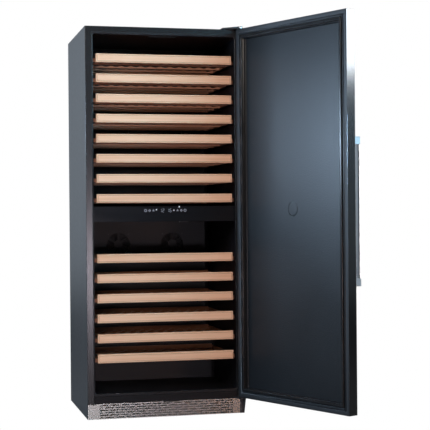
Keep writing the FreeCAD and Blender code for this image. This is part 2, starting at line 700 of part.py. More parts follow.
# ---------------------------------------------------------------- shelves and their runners
def shelf_tops():
    """The height of each shelf's front bar, from the top shelf down."""
    upper = [f"upper_first + upper_pitch*{i}" for i in reversed(range(8))]
    lower = [f"lower_first + lower_pitch*{i}" for i in reversed(range(6))]
    return upper + lower


def board_profile(name, tall):
    """Cross-section of a bottle board: flat below, with a row of round grooves above."""
    drawing = doc.addObject("Sketcher::SketchObject", name)
    drawing.Placement = Placement(Vector(), PLANES["XZ"])
    half = cell("rack_width") / 2 - cell("rail_width")
    radius, deep, pitch = cell("groove_radius"), cell("groove_depth"), cell("groove_pitch")
    reach = math.sqrt(radius ** 2 - (radius - deep) ** 2)
    centre = tall + radius - deep
    lean = math.acos((radius - deep) / radius)
    down = 1.5 * math.pi
    pen = Vector(-half, tall, 0)
    side = int((half - reach) / pitch)
    for i in range(-side, side + 1):
        x = i * pitch
        drawing.addGeometry(Part.LineSegment(pen, Vector(x - reach, tall, 0)), False)
        circle = Part.Circle(Vector(x, centre, 0), Vector(0, 0, 1), radius)
        drawing.addGeometry(Part.ArcOfCircle(circle, down - lean, down + lean), False)
        pen = Vector(x + reach, tall, 0)
    for corner in ((half, tall), (half, 0), (-half, 0), (-half, tall)):
        corner = Vector(*corner, 0)
        drawing.addGeometry(Part.LineSegment(pen, corner), False)
        pen = corner
    return drawing


def board(name, tall, start, depth):
    """A grooved board across the shelf, from a depth behind the front plane."""
    piece = extruded(name, board_profile(name + "_profile", tall), Vector(0, 1, 0), depth)
    return move(piece, y=behind(start))


def shelf_masters(name, depth, boards):
    """The pieces of one shelf of a given depth, with the underside of its front bar at height 0."""
    half = "shelf_width/2"
    bar = box(name + "_blank", (f"-{half}", half), (FRONT, f"{FRONT} + bar_depth"), ("0", "bar_height"))
    face = number(FRONT)
    bar = rounded(name + "_bar_soft", bar, cell("bar_round"), lambda c, d, e: near(c.y, face))
    edge = cell("bar_round") + 2.5
    line = ring(name + "_line", (f"-{half} + {edge}", f"{half} - {edge}", f"{edge}", f"bar_height - {edge}"),
                (f"-{half} + {edge} + 1.2", f"{half} - {edge} - 1.2", f"{edge} + 1.2",
                 f"bar_height - {edge} - 1.2"), (FRONT, f"{FRONT} + 0.6"))
    bar = cut(name + "_bar", bar, line)
    pieces = [bar]
    for side, sign in (("left", -1), ("right", 1)):
        x = (f"{sign}*rack_width/2", f"{sign}*(rack_width/2 - rail_width)")
        x = x if sign < 0 else x[::-1]
        pieces.append(box(f"{name}_rail_{side}", x, (f"{FRONT} + bar_depth", f"{FRONT} + {depth}"),
                          ("rail_rise", "rail_rise + rail_height")))
    tall = cell("board_height")
    for i in range(boards):
        pieces.append(board(f"{name}_board_{i}", tall, f"board_first + {i}*board_pitch", "board_depth"))
    pieces.append(board(f"{name}_board_rear", tall, f"{depth} - back_depth - board_depth", "board_depth"))
    inner = "rack_width/2 - rail_width"
    pieces.append(box(f"{name}_board_back", (f"-({inner})", inner),
                      (f"{FRONT} + {depth} - back_depth", f"{FRONT} + {depth}"), ("0", "back_height")))
    return pieces


def shelves():
    """Thirteen shelves of full depth, and a shorter one in front of the step in the liner."""
    full = shelf_masters("full", "rack_depth", 3)
    short = shelf_masters("short", "short_depth", 2)
    tops = shelf_tops()
    for i, top in enumerate(tops, start=1):
        pieces = short if i == len(tops) else full
        node(placed(f"shelf_group_{i:02d}", pieces, z=up(f"{top} - bar_height")), f"shelf_{i:02d}")


def shelf_runners():
    """Fixed ledges on the liner's walls, one under each side rail of each shelf."""
    thick = "runner_thick"
    tops = shelf_tops()
    for side, sign in (("left", -1), ("right", 1)):
        wall = (f"{sign}*liner_width/2", f"{sign}*(liner_width/2 - {thick})")
        ledge = (f"{sign}*liner_width/2", f"{sign}*(rack_width/2 - rail_width + 2)")
        wall, ledge = (wall, ledge) if sign < 0 else (wall[::-1], ledge[::-1])
        masters = []
        for length, end in (("full", "duct_front - 2"), ("short", "step_front - 2")):
            deep = (f"{FRONT} + 30", behind(end))
            seat = "rail_rise - runner_gap"
            upright = box(f"runner_{side}_{length}_wall", wall, deep, (f"{seat} - {thick}", "rail_height"))
            flat = box(f"runner_{side}_{length}_ledge", ledge, deep, (f"{seat} - {thick}", seat))
            masters.append(fuse(f"runner_{side}_{length}", upright, flat))
        runners = [placed(f"runner_{side}_{i:02d}", [masters[i == len(tops)]], z=up(f"{top} - bar_height"))
                   for i, top in enumerate(tops, start=1)]
        node(compound(f"runners_{side}", runners), f"shelf_runners_{side}")


# ---------------------------------------------------------------- hinges
PIVOT_X = f"{SIDE} - pivot_edge"
PIVOT_Y = f"{FRONT} - door_gap - pivot_face"


def top_hinge():
    """Plate on the cabinet's roof with a tongue over the door, and a sloping cover behind the bolt."""
    x, y = number(PIVOT_X), number(PIVOT_Y)
    front, right = number(FRONT), number(SIDE) - 1
    left, reach, rear = cell("roof_plate_left"), y - cell("tongue_reach"), front + cell("roof_plate_back")
    points = [(left, front + cell("roof_plate_front")), (x - cell("tongue_half"), reach),
              (right, reach), (right, rear), (left, rear)]
    plate = extruded("top_bracket_plate", outline("top_bracket_outline", points, "XY"),
                     Vector(0, 0, 1), "bracket_thick")
    move(plate, z=TOP)
    hole = rod("top_bracket_hole", "pin_radius", 30, (PIVOT_X, PIVOT_Y, f"{TOP} - 10"))
    node(cut("top_bracket", plate, hole), "top_hinge_bracket")
    roof = number(TOP) + cell("bracket_thick")
    over = right + 3
    tall, thin = cell("hood_tall"), cell("hood_thin")
    profile = [(left, roof), (over, roof), (over, roof + tall), (left, roof + thin)]
    cover = extruded("top_cover_solid", outline("top_cover_outline", profile, "XZ"),
                     Vector(0, 1, 0), "hood_deep")
    move(cover, y=f"{FRONT} - hood_proud")
    node(cover, "top_hinge_cover")


def bottom_hinge():
    """Angle bracket over the kick plate's right end: a leg, a shelf for the pin and a side gusset."""
    x, y = number(PIVOT_X), number(PIVOT_Y)
    front, right = number(FRONT), number(SIDE)
    low, high = number(FLOOR), number(up("kick_height + 1"))
    reach = y - cell("tongue_reach")
    points = [(cell("shelf_plate_left"), front), (x - 16, reach), (right, reach), (right, front)]
    shelf = extruded("bottom_bracket_shelf", outline("bottom_bracket_outline", points, "XY"),
                     Vector(0, 0, 1), "bracket_thick")
    move(shelf, z=up("kick_height + 1"))
    leg = box("bottom_bracket_leg", (f"{SIDE} - leg_width", SIDE), (f"{FRONT} - leg_thick", FRONT),
              (FLOOR, up("kick_height + 1")))
    web = [(front, low), (front, high), (y - 8, high), (front - cell("leg_thick"), low)]
    gusset = extruded("bottom_bracket_gusset", outline("bottom_bracket_web", web, "YZ"),
                      Vector(1, 0, 0), "leg_thick")
    move(gusset, x=f"{SIDE} - leg_thick")
    hole = rod("bottom_bracket_hole", "pin_radius", 30, (PIVOT_X, PIVOT_Y, up("kick_height - 9")))
    node(cut("bottom_bracket", fuse("bottom_bracket_solid", shelf, leg, gusset), hole),
         "bottom_hinge_bracket")


def hinge_pins():
    """The top bolt, with its head over the bracket, and the bottom pin, with a collar under the door."""
    top = fuse(
        "top_pin",
        rod("top_pin_shank", "pin_radius", "pin_depth + bracket_thick + 2",
            (PIVOT_X, PIVOT_Y, up("door_high - pin_depth"))),
        rod("top_pin_head", "8", "6", (PIVOT_X, PIVOT_Y, f"{TOP} + bracket_thick")),
    )
    shelf_top = "kick_height + 1 + bracket_thick"
    bottom = fuse(
        "bottom_pin",
        rod("bottom_pin_shank", "pin_radius", "door_low + pin_depth - kick_height - 1",
            (PIVOT_X, PIVOT_Y, up("kick_height + 1"))),
        rod("bottom_pin_collar", "8", "2", (PIVOT_X, PIVOT_Y, up(shelf_top))),
    )
    node(compound("pins", [top, bottom]), "hinge_pins")


def cabinet_screws():
    """Kick plate screw, two in the lower bracket's leg, three in the roof plate, four at the rear."""
    screws = []

    def screw(name, x, y, z, axis, grip):
        head = rod(name + "_head", "screw_head", "screw_rise", (x, y, z), axis)
        back = {"y": (x, f"{y} {grip}", z), "z": (x, y, f"{z} - 6")}[axis]
        shank = rod(name + "_shank", "screw_shank", "screw_long", back, axis)
        screws.append(fuse(name, head, shank))

    screw("kick_screw", f"-({SIDE} - 13)", f"{FRONT} - screw_rise", up("6"), "y", "+ 1")
    for i, rise in enumerate((18, 46)):
        screw(f"leg_screw_{i}", f"{SIDE} - 11", f"{FRONT} - leg_thick - screw_rise", up(rise), "y", "+ 1")
    for i, x in enumerate((280, 305, 335)):
        screw(f"roof_screw_{i}", str(x), behind("roof_plate_back - 5"),
              f"{TOP} + bracket_thick", "z", "")
    for i, (x, z) in enumerate(((-330, 30), (330, 30), (-330, 200), (330, 200))):
        screw(f"rear_screw_{i}", str(x), BACK, up(z), "y", "- 6")
    node(compound("screws", screws), "cabinet_screws")


# ---------------------------------------------------------------- door, drawn closed about its pivot
EDGE = "pivot_edge"
FREE = "pivot_edge - door_width"
INNER = "pivot_face"
OUTER = "pivot_face - door_thick"


def hang(piece, label):
    """Turn a door piece about the hinge line to where the door stands open."""
    piece.Placement = Placement(Vector(), Rotation(Vector(0, 0, 1), cell("door_open")))
    move(piece, PIVOT_X, PIVOT_Y, FLOOR)
    piece.setExpression("Placement.Rotation.Angle", bound("door_open"))
    return node(piece, label)


def pivot_holes(name, radius):
    """Bores for the two pins, up from the door's lower end and down from its upper end."""
    low = rod(name + "_low", radius, "pin_depth + 6", ("0", "0", "door_low - 5"))
    high = rod(name + "_high", radius, "pin_depth + 6", ("0", "0", "door_high - pin_depth - 1"))
    return low, high


def door_skin():
    """Stainless sheet folded round the four edges, with turned-in lips round the back."""
    sheet_edge = "door_sheet"
    block = box("skin_block", (FREE, EDGE), (OUTER, INNER), ("door_low", "door_high"))
    corner = {number(FREE), cell("pivot_edge")}
    face = number(OUTER)
    soft = rounded("skin_soft", block, 1.5, lambda c, d, e: near(c.y, face)
                   or (along(d, "y") and min(abs(c.x - v) for v in corner) < 0.1))
    hollow = box("skin_hollow", (f"{FREE} + {sheet_edge}", f"{EDGE} - {sheet_edge}"),
                 (f"{OUTER} + {sheet_edge}", f"{INNER} + 5"),
                 (f"door_low + {sheet_edge}", f"door_high - {sheet_edge}"))
    return hang(cut("skin", soft, hollow, *pivot_holes("skin_bore", "pin_radius + 5")), "door_skin")


def inset(distance):
    """The door's face taken in by a distance: the x and z pairs of that rectangle."""
    return (f"{FREE} + {distance}", f"{EDGE} - ({distance})"), (
        f"door_low + {distance}", f"door_high - ({distance})")


def door_liner():
    """Moulded inner face: a rim, a ledge for the seal, and a sunken panel with a sloping border."""
    x, z = inset("door_sheet")
    plate = box("door_plate", x, (f"{INNER} - door_liner_thick", INNER), z)
    x, z = inset("rim_width")
    ledge = box("door_ledge", x, (f"{INNER} - seal_base", f"{INNER} + 5"), z)
    ledge = rounded("door_ledge_soft", ledge, 6, lambda c, d, e: along(d, "y"))
    x, z = inset("panel_inset")
    deep = box("door_deep", x, (f"{INNER} - panel_step", f"{INNER} + 5"), z)
    slope = doc.addObject("Part::Wedge", "door_slope")
    inner = inset("panel_inset + panel_bevel")
    for words, values in ((("Xmin", "Xmax"), inner[0]), (("Zmin", "Zmax"), inner[1]),
                          (("X2min", "X2max"), x), (("Z2min", "Z2max"), z),
                          (("Ymin", "Ymax"), (f"{INNER} - panel_recess", f"{INNER} - panel_step"))):
        for word, value in zip(words, values):
            slope.setExpression(word, bound(value))
    pan = cut("door_pan", plate, ledge)
    rim = {number(v) for v in inset("rim_width")[0]}
    ends = {number(v) for v in inset("rim_width")[1]}
    face = cell("pivot_face")
    pan = rounded("door_pan_soft", pan, 4, lambda c, d, e: near(c.y, face) and (
        min(abs(c.x - v) for v in rim) < 6.1 or min(abs(c.z - v) for v in ends) < 6.1)
        and min(rim) - 0.1 < c.x < max(rim) + 0.1 and min(ends) - 0.1 < c.z < max(ends) + 0.1)
    seat = rod("plug_seat", "plug_radius + 1", "plug_thick - 0.6 + 20",
               (f"{EDGE} - plug_place", f"{INNER} - panel_recess - plug_thick + 0.6", "plug_height"), "y")
    return hang(cut("door_face", pan, deep, slope, seat, *pivot_holes("face_bore", "pin_radius + 5")),
                "door_liner")


def door_foam():
    gap = "door_sheet"
    block = box("door_core", (f"{FREE} + {gap}", f"{EDGE} - {gap}"),
                (f"{OUTER} + {gap}", f"{INNER} - door_liner_thick"),
                (f"door_low + {gap}", f"door_high - {gap}"))
    return hang(cut("door_foam_body", block, *pivot_holes("core_bore", "pin_radius + 5")), "door_foam")


def door_seal():
    """Magnetic seal: a bellows that stands on the ledge and rises a little above the rim."""
    outer, inner = inset("seal_inset"), inset("seal_inset + seal_width")
    seal = ring("seal_ring", outer[0] + outer[1], inner[0] + inner[1],
                (f"{INNER} - seal_base", f"{INNER} + seal_height"), round_outer=5, round_inner=3)
    crown = number(f"{INNER} + seal_height")
    soft = rounded("seal_soft", seal, 3, lambda c, d, e: near(c.y, crown))
    return hang(soft, "door_gasket")


def door_plug():
    """Round blanking plug in the middle of the sunken panel."""
    disc = rod("plug_disc", "plug_radius", "plug_thick",
               (f"{EDGE} - plug_place", f"{INNER} - panel_recess - plug_thick + 0.6", "plug_height"), "y")
    face = number(f"{INNER} - panel_recess + 0.6")
    disc = rounded("plug_soft", disc, 1, lambda c, d, e: near(c.y, face) and e.Length > 50)
    return hang(disc, "door_plug")


def handle():
    """Square-edged bar between two end posts, near the free edge."""
    x = (f"{FREE} + handle_inset", f"{FREE} + handle_inset + handle_wide")
    far = f"{OUTER} - handle_reach"
    bar = box("handle_block", x, (far, f"{far} + handle_thick"),
              ("handle_low + post_tall", "handle_high - post_tall"))
    soft = rounded("handle_soft", bar, 1.2, lambda c, d, e: along(d, "z"))
    posts = []
    for i, low in enumerate(("handle_low", "handle_high - post_tall")):
        post = box(f"post_block_{i}", x, (far, OUTER), (low, f"{low} + post_tall"))
        end = number(low) if i == 0 else number(f"{low} + post_tall")
        reach = number(far)
        posts.append(rounded(f"post_{i}", post, 1.2, lambda c, d, e, z=end, y=reach:
                             along(d, "y") or near(c.z, z) and not near(c.y, number(OUTER)) or near(c.y, y)))
    hang(soft, "handle_bar")
    hang(compound("handle_feet", posts), "handle_posts")


def hinge_bushes():
    """Plastic bushes at the door's ends that turn on the pins."""
    bushes = []
    for name, low in (("low", "door_low"), ("high", "door_high - pin_depth")):
        sleeve = rod(f"bush_{name}_sleeve", "pin_radius + 5", "pin_depth", ("0", "0", low))
        bore = rod(f"bush_{name}_bore", "pin_radius + pin_clearance", "pin_depth + 20",
                   ("0", "0", f"{low} - 10"))
        bushes.append(cut(f"bush_{name}", sleeve, bore))
    return hang(compound("bushes", bushes), "hinge_bushes")


# ---------------------------------------------------------------- the assembly
side_panel("side_panel_left", -1)
side_panel("side_panel_right", 1)
top_panel()
back_panel()
base_pan()
levelling_feet()
sill()
kick_plate()
_, liner_outside = inner_liner()
insulation(liner_outside)
bulkhead()
divider()
control_panel()
control_board()
zone_lamps()
duct_cover("duct_cover_upper", "divider_high", "liner_ceiling", "fan_high")
duct_cover("duct_cover_lower", "step_top", "divider_low", "fan_low")
zone_fans(fan_housing_master(), fan_rotor_master())
evaporators()
compressor()
grommets()
condenser()
drip_tray()
rear_cover()
cable_gland()
shelves()
shelf_runners()
top_hinge()
bottom_hinge()
hinge_pins()
cabinet_screws()
door_skin()
door_liner()
door_foam()
door_seal()
door_plug()
handle()
hinge_bushes()
doc.recompute()

# ---------------------------------------------------------------- checks and files
for item in doc.Objects:
    if {"Invalid", "Error"} & set(item.State):
        raise RuntimeError(f"{item.Name} failed: {item.State}")
os.makedirs("parts", exist_ok=True)
for piece in NODES:
    shape = piece.Shape
    if shape.isNull() or not shape.isValid() or not shape.Solids:
        raise RuntimeError(f"{piece.Label} has no valid solid")
    shape.exportStep(f"parts/{piece.Label}.step")
    size = shape.BoundBox
    print(f"{piece.Label:24s} {len(shape.Solids):3d} solids {shape.Volume / 1000:10.1f} cm3 "
          f"{size.XLength:7.1f} {size.YLength:7.1f} {size.ZLength:7.1f}")
print(len(NODES), "nodes")
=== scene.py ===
import json
import math

import bmesh
import bpy
from mathutils import Matrix, Vector


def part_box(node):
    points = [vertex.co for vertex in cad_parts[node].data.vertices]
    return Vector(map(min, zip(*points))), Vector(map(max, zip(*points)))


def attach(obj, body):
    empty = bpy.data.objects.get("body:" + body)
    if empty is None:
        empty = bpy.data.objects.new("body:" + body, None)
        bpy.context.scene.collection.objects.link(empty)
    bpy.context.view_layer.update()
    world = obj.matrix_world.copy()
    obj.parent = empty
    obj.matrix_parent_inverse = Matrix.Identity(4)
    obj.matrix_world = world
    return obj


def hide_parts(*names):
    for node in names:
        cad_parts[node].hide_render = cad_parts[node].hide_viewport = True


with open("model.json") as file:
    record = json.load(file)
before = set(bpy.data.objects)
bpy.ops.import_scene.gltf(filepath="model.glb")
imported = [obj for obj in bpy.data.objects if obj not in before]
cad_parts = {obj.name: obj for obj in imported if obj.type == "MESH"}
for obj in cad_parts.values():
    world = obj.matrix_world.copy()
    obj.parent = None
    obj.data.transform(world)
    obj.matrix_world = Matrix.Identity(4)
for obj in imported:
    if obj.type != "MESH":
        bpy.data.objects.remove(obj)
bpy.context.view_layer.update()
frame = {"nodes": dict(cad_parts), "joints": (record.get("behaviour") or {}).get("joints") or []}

bl_info = {
    "name": "Wine Cooler",
    "version": (1, 0, 0),
    "blender": (4, 5, 0),
    "location": "View3D > Sidebar > Wine Cooler",
    "description": "Builds the looks of a two-zone wine cooler around its packed frame",
    "category": "Object",
}

MM = 0.001
CABINET_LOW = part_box("side_panel_left")[0]
CABINET_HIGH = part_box("side_panel_right")[1]
FRONT = CABINET_LOW.y
BACK = CABINET_HIGH.y
BODY_FLOOR = CABINET_LOW.z
HINGE = next(j for j in frame["joints"] if j["name"] == "door_hinge")
OPEN = -math.radians(HINGE["range_deg"][0])
PIVOT = Vector((HINGE["pos_m"][0], HINGE["pos_m"][1], 0))
HANG = Matrix.Translation((PIVOT.x, PIVOT.y, BODY_FLOOR)) @ Matrix.Rotation(OPEN, 4, "Z")

# The closed door, in millimetres from its hinge line and from the cabinet's base.
DOOR = {"hinge_edge": 11, "free_edge": -695, "inner": 17, "outer": -28, "low": 74, "high": 1718}
DOOR_WIDE = (DOOR["free_edge"], DOOR["hinge_edge"])
DOOR_TALL = (DOOR["low"], DOOR["high"])

# A shelf's bare front bar, in metres: its back, behind the front face, and its half length.
BAR_DEPTH = 0.0222
BAR_HALF = 0.3052


# ------------------------------------------------------------------ shader arithmetic
class Signal:
    """A number that a shader node gives, which takes part in ordinary arithmetic."""

    def __init__(self, finish, socket):
        self.finish = finish
        self.socket = socket

    def math(self, operation, first, second):
        return self.finish.node("ShaderNodeMath", {"operation": operation}, {0: first, 1: second})[0]

    def __add__(self, other):
        return self.math("ADD", self, other)

    def __sub__(self, other):
        return self.math("SUBTRACT", self, other)

    def __rsub__(self, other):
        return self.math("SUBTRACT", other, self)

    def __mul__(self, other):
        return self.math("MULTIPLY", self, other)

    def __gt__(self, other):
        return self.math("GREATER_THAN", self, other)

    def __lt__(self, other):
        return self.math("LESS_THAN", self, other)

    __radd__ = __add__

    def between(self, low, high):
        """0 below low and 1 above high, with a smooth slope between."""
        settings = {"interpolation_type": "SMOOTHSTEP"}
        values = {"Value": self, "From Min": low, "From Max": high}
        return self.finish.node("ShaderNodeMapRange", settings, values)[0]


class Outputs:
    """A node's outputs, as signals."""

    def __init__(self, finish, node):
        self.finish = finish
        self.node = node

    def __getitem__(self, key):
        return Signal(self.finish, self.node.outputs[key])


class Finish:
    """A material and the nodes that make it."""

    def __init__(self, name):
        self.material = bpy.data.materials.new(name)
        self.material.use_nodes = True
        self.nodes = self.material.node_tree.nodes
        self.links = self.material.node_tree.links
        self.nodes.clear()
        self.shader = self.nodes.new("ShaderNodeBsdfPrincipled")
        output = self.nodes.new("ShaderNodeOutputMaterial")
        self.links.new(self.shader.outputs[0], output.inputs["Surface"])

    def feed(self, socket, value):
        if isinstance(value, Signal):
            self.links.new(value.socket, socket)
        elif socket.type == "RGBA" and len(value) == 3:
            socket.default_value = (*value, 1.0)
        else:
            socket.default_value = value

    def node(self, kind, settings=None, values=None):
        """Adds a node: its settings first, then the values or links of its sockets."""
        made = self.nodes.new(kind)
        for name, value in (settings or {}).items():
            if name == "stops":
                ramp = made.color_ramp
                while len(ramp.elements) < len(value):
                    ramp.elements.new(1.0)
                for element, (place, colour) in zip(ramp.elements, value):
                    element.position = place
                    element.color = (*colour, 1.0)
            else:
                setattr(made, name, value)
        for name, value in (values or {}).items():
            self.feed(made.inputs[name], value)
        return Outputs(self, made)

    def set(self, **values):
        """Sets the shader's sockets: base_color feeds Base Color, and so on."""
        names = {"specular": "Specular IOR Level", "emission": "Emission Color"}
        for name, value in values.items():
            socket = names.get(name, name.replace("_", " ").title())
            self.feed(self.shader.inputs[socket], value)
        return self

    def place(self, scale=(1, 1, 1), turn=(0, 0, 0), shift=(0, 0, 0)):
        """Object coordinates, shifted, turned and scaled."""
        where = self.node("ShaderNodeTexCoord")["Object"]
        values = {"Vector": where, "Location": shift, "Rotation": turn, "Scale": scale}
        return self.node("ShaderNodeMapping", {}, values)[0]

    def axes(self, where):
        split = self.node("ShaderNodeSeparateXYZ", {}, {0: where})
        return split[0], split[1], split[2]

    def noise(self, where, scale, detail=3.0, rough=0.5, bend=0.0):
        values = {"Vector": where, "Scale": scale, "Detail": detail, "Roughness": rough, "Distortion": bend}
        return self.node("ShaderNodeTexNoise", {}, values)[0]

    def cells(self, where, scale, feature="F1"):
        return self.node("ShaderNodeTexVoronoi", {"feature": feature}, {"Vector": where, "Scale": scale})

    def ramp(self, factor, stops):
        return self.node("ShaderNodeValToRGB", {"stops": stops}, {0: factor})[0]

    def blend(self, factor, first, second):
        mix = self.node("ShaderNodeMix", {"data_type": "RGBA"}, {0: factor, 6: first, 7: second})
        return mix[2]

    def bump(self, height, strength, distance=0.001):
        values = {"Height": height, "Strength": strength, "Distance": distance}
        return self.node("ShaderNodeBump", {}, values)[0]


def shade(colour, factor):
    return tuple(min(1.0, c * factor) for c in colour)


# ------------------------------------------------------------------ finishes
def painted_sheet(name, colour, rough, texture=1.0, front=None, specular=0.5):
    """Stoved paint on sheet steel: orange peel, faint cloudiness and fine dust.

    Where front is given, the folded front edges have that roughness and no orange peel.
    """
    fold = FRONT + 1.5 * MM
    f = Finish(name)
    where = f.place()
    cloud = f.noise(where, 2.2, 4)
    peel = f.noise(where, 420, 2)
    dust = f.noise(where, 60, 5, 0.7)
    colours = [(0.3, shade(colour, 0.94)), (0.7, shade(colour, 1.06))]
    sheen = rough + (dust - 0.5) * 0.12
    if front is not None:
        folded = f.axes(where)[1] < fold
        sheen = sheen * (1 - folded) + folded * (front + (cloud - 0.5) * 0.04)
        peel = peel * (1 - folded)
    f.set(base_color=f.ramp(cloud, colours), roughness=sheen, specular=specular)
    return f.set(normal=f.bump(peel, 0.12 * texture, 0.0004)).material


def zinc_sheet(name, colour):
    """Galvanised sheet with crystals of different brightness."""
    f = Finish(name)
    where = f.place()
    crystals = f.cells(where, 70)["Color"]
    level = f.node("ShaderNodeSeparateColor", {}, {0: crystals})[0]
    streak = f.noise(f.place((1, 1, 6)), 14, 4)
    tone = level * 0.6 + streak * 0.4
    f.set(base_color=f.ramp(tone, [(0.2, shade(colour, 0.82)), (0.8, shade(colour, 1.12))]))
    f.set(metallic=0.85, roughness=0.38 + tone * 0.16)
    return f.set(normal=f.bump(level, 0.05, 0.0003)).material


def brushed(f, where, colour, rough, vary=0.3):
    """Colour, roughness and height of fine parallel scratches, as uneven as vary says."""
    lines = f.noise(where, 900, 3, 0.7)
    broad = f.noise(where, 70, 3)
    smear = f.noise(f.place(), 3, 2)
    tone = lines * 0.5 + broad * 0.3 + smear * 0.2
    low, high = shade(colour, 1 - vary * 0.45), shade(colour, 1 + vary * 0.35)
    colours = f.ramp(tone, [(0.35, low), (0.65, high)])
    return colours, rough + (tone - 0.5) * vary, lines


def brushed_steel(name, colour, along, rough, relief=0.06, vary=0.3, stretched=0.5):
    """Steel brushed along an axis; stretched says how far the scratches draw out a highlight."""
    f = Finish(name)
    stretch = {"x": (0.012, 1, 1), "z": (1, 1, 0.012)}[along]
    colours, roughness, lines = brushed(f, f.place(stretch), colour, rough, vary)
    f.set(base_color=colours, metallic=1.0, roughness=roughness, anisotropic=stretched)
    return f.set(normal=f.bump(lines, relief, 0.0002)).material


def door_sheet(name, steel):
    """The door's skin: brushed upright on the face, polished where it folds round the edges."""
    f = Finish(name)
    shift = Matrix.Rotation(-OPEN, 3, "Z") @ -PIVOT
    _, depth, _ = f.axes(f.place(turn=(0, 0, -OPEN), shift=shift))
    fold = DOOR["outer"] + 2
    folded = depth.between((fold - 0.4) * MM, (fold + 0.4) * MM)
    colours, roughness, lines = brushed(f, f.place((1, 1, 0.012)), steel, 0.28)
    f.set(base_color=f.blend(folded, colours, shade(steel, 1.1)), metallic=1.0)
    f.set(roughness=roughness * (1 - folded) + folded * (0.14 + lines * 0.02))
    return f.set(normal=f.bump(lines * (1 - folded), 0.05, 0.0002)).material


def moulding(name, colour, grain, strength, rough, specular=0.5):
    """Grained plastic: rounded pebbles with fine pits between them, and a slightly uneven sheen."""
    f = Finish(name)
    where = f.place()
    pebble = f.cells(where, grain, "SMOOTH_F1")["Distance"]
    fine = f.noise(where, grain * 2.6, 3)
    clump = f.noise(where, grain * 0.45, 3)
    cloud = f.noise(where, 3.5, 4)
    tone = cloud * 0.5 + clump * 0.5
    f.set(base_color=f.ramp(tone, [(0.35, shade(colour, 0.85)), (0.65, shade(colour, 1.15))]))
    f.set(roughness=rough + (tone - 0.5) * 0.16 + (fine - 0.5) * 0.06, specular=specular)
    return f.set(normal=f.bump(pebble * 0.55 + clump * 0.3 + fine * 0.15, strength, 0.0008)).material


def gloss(name, colour, rough):
    """Polished fascia with a light film of dust and hairline wipes."""
    f = Finish(name)
    wipe = f.noise(f.place((0.15, 1, 1)), 60, 4)
    dust = f.noise(f.place(), 500, 2)
    dusty = (0.3, 0.3, 0.32)
    f.set(base_color=f.blend(dust * 0.02, colour, dusty))
    f.set(roughness=rough + (wipe - 0.5) * 0.08, specular=0.3)
    return f.set(normal=f.bump(wipe, 0.01, 0.0002)).material


def rubber(name, colour):
    """Soft black rubber with a faint bloom and a low sheen."""
    f = Finish(name)
    where = f.place()
    fine = f.noise(where, 700, 3)
    wear = f.noise(where, 9, 4)
    f.set(base_color=f.ramp(wear, [(0.3, colour), (0.75, shade(colour, 1.7))]))
    f.set(roughness=0.24 + (wear - 0.5) * 0.08 + (fine - 0.5) * 0.04, specular=0.3)
    return f.set(normal=f.bump(fine, 0.05, 0.0003)).material


def timber(name, pale, tan, dark, painted_shade=None):
    """Light hardwood with its grain along X: bands, fibres, staves and fine pores.

    A painted shade darkens what lies behind the front bar, which is left bare: it stands in for the shade
    inside the cabinet on the slats and undersides.
    """
    f = Finish(name)
    where = f.place((1.1, 9, 9))
    warp = f.noise(where, 1.6, 3, 0.55)
    bands = f.noise(f.place((1.3, 60, 60)), 1.5, 6, 0.6, 0.4)
    fibre = f.noise(f.place((8, 700, 700)), 1.0, 4, 0.7)
    pores = f.noise(f.place((18, 1100, 1100)), 1.0, 2).between(0.62, 0.74)
    stave = f.noise(f.place((0.3, 2, 11.4)), 1.0, 1)
    tone = bands * 0.5 + warp * 0.28 + fibre * 0.12 + stave * 0.3 - 0.1
    colour = f.ramp(tone, [(0.28, dark), (0.5, tan), (0.72, pale)])
    colour = f.blend(pores * 0.3, colour, shade(dark, 0.6))
    # Painted shade: all but the bare front bar is multiplied by the shade colour, for the darkness inside
    # the cabinet.
    if painted_shade is not None:
        across, depth, _ = f.axes(f.place())
        bar = (depth < FRONT + BAR_DEPTH) * (across * across < BAR_HALF ** 2)
        colour = f.node("ShaderNodeMix", {"data_type": "RGBA", "blend_type": "MULTIPLY"},
                        {0: 1 - bar, 6: colour, 7: painted_shade})[2]
    f.set(base_color=colour, roughness=0.48 + (fibre - 0.5) * 0.2 + pores * 0.1, specular=0.35)
    return f.set(normal=f.bump(fibre * 0.6 + bands * 0.4 - pores, 0.12, 0.0004)).material


def circuit(name, colour, copper):
    """A circuit board with tracks between its pads."""
    f = Finish(name)
    upright = f.place((160, 160, 160), (math.pi / 2, 0, 0))
    values = {"Vector": upright, "Scale": 1.0, "Mortar Size": 0.08}
    tracks = f.node("ShaderNodeTexBrick", {"offset": 0.37}, values)["Fac"]
    speck = f.noise(f.place(), 240, 2)
    f.set(base_color=f.blend(tracks * 0.5, colour, copper), roughness=0.35 + speck * 0.2)
    return f.set(normal=f.bump(tracks, 0.2, 0.0003)).material


def glowing(name, colour, light, power):
    """Frosted plastic lit from within, its glow uneven in fine spots."""
    f = Finish(name)
    spots = f.noise(f.place(), 220, 2)
    f.set(base_color=colour, roughness=0.35 + (spots - 0.5) * 0.1)
    f.set(emission=f.blend(spots, shade(light, 0.8), light), emission_strength=power)
    return f.material


def foam(name, colour):
    """Blown foam with open cells."""
    f = Finish(name)
    cells = f.cells(f.place(), 260)["Distance"]
    f.set(base_color=f.ramp(cells, [(0.1, shade(colour, 0.8)), (0.6, colour)]), roughness=0.9)
    return f.set(normal=f.bump(cells, 0.5, 0.001)).material


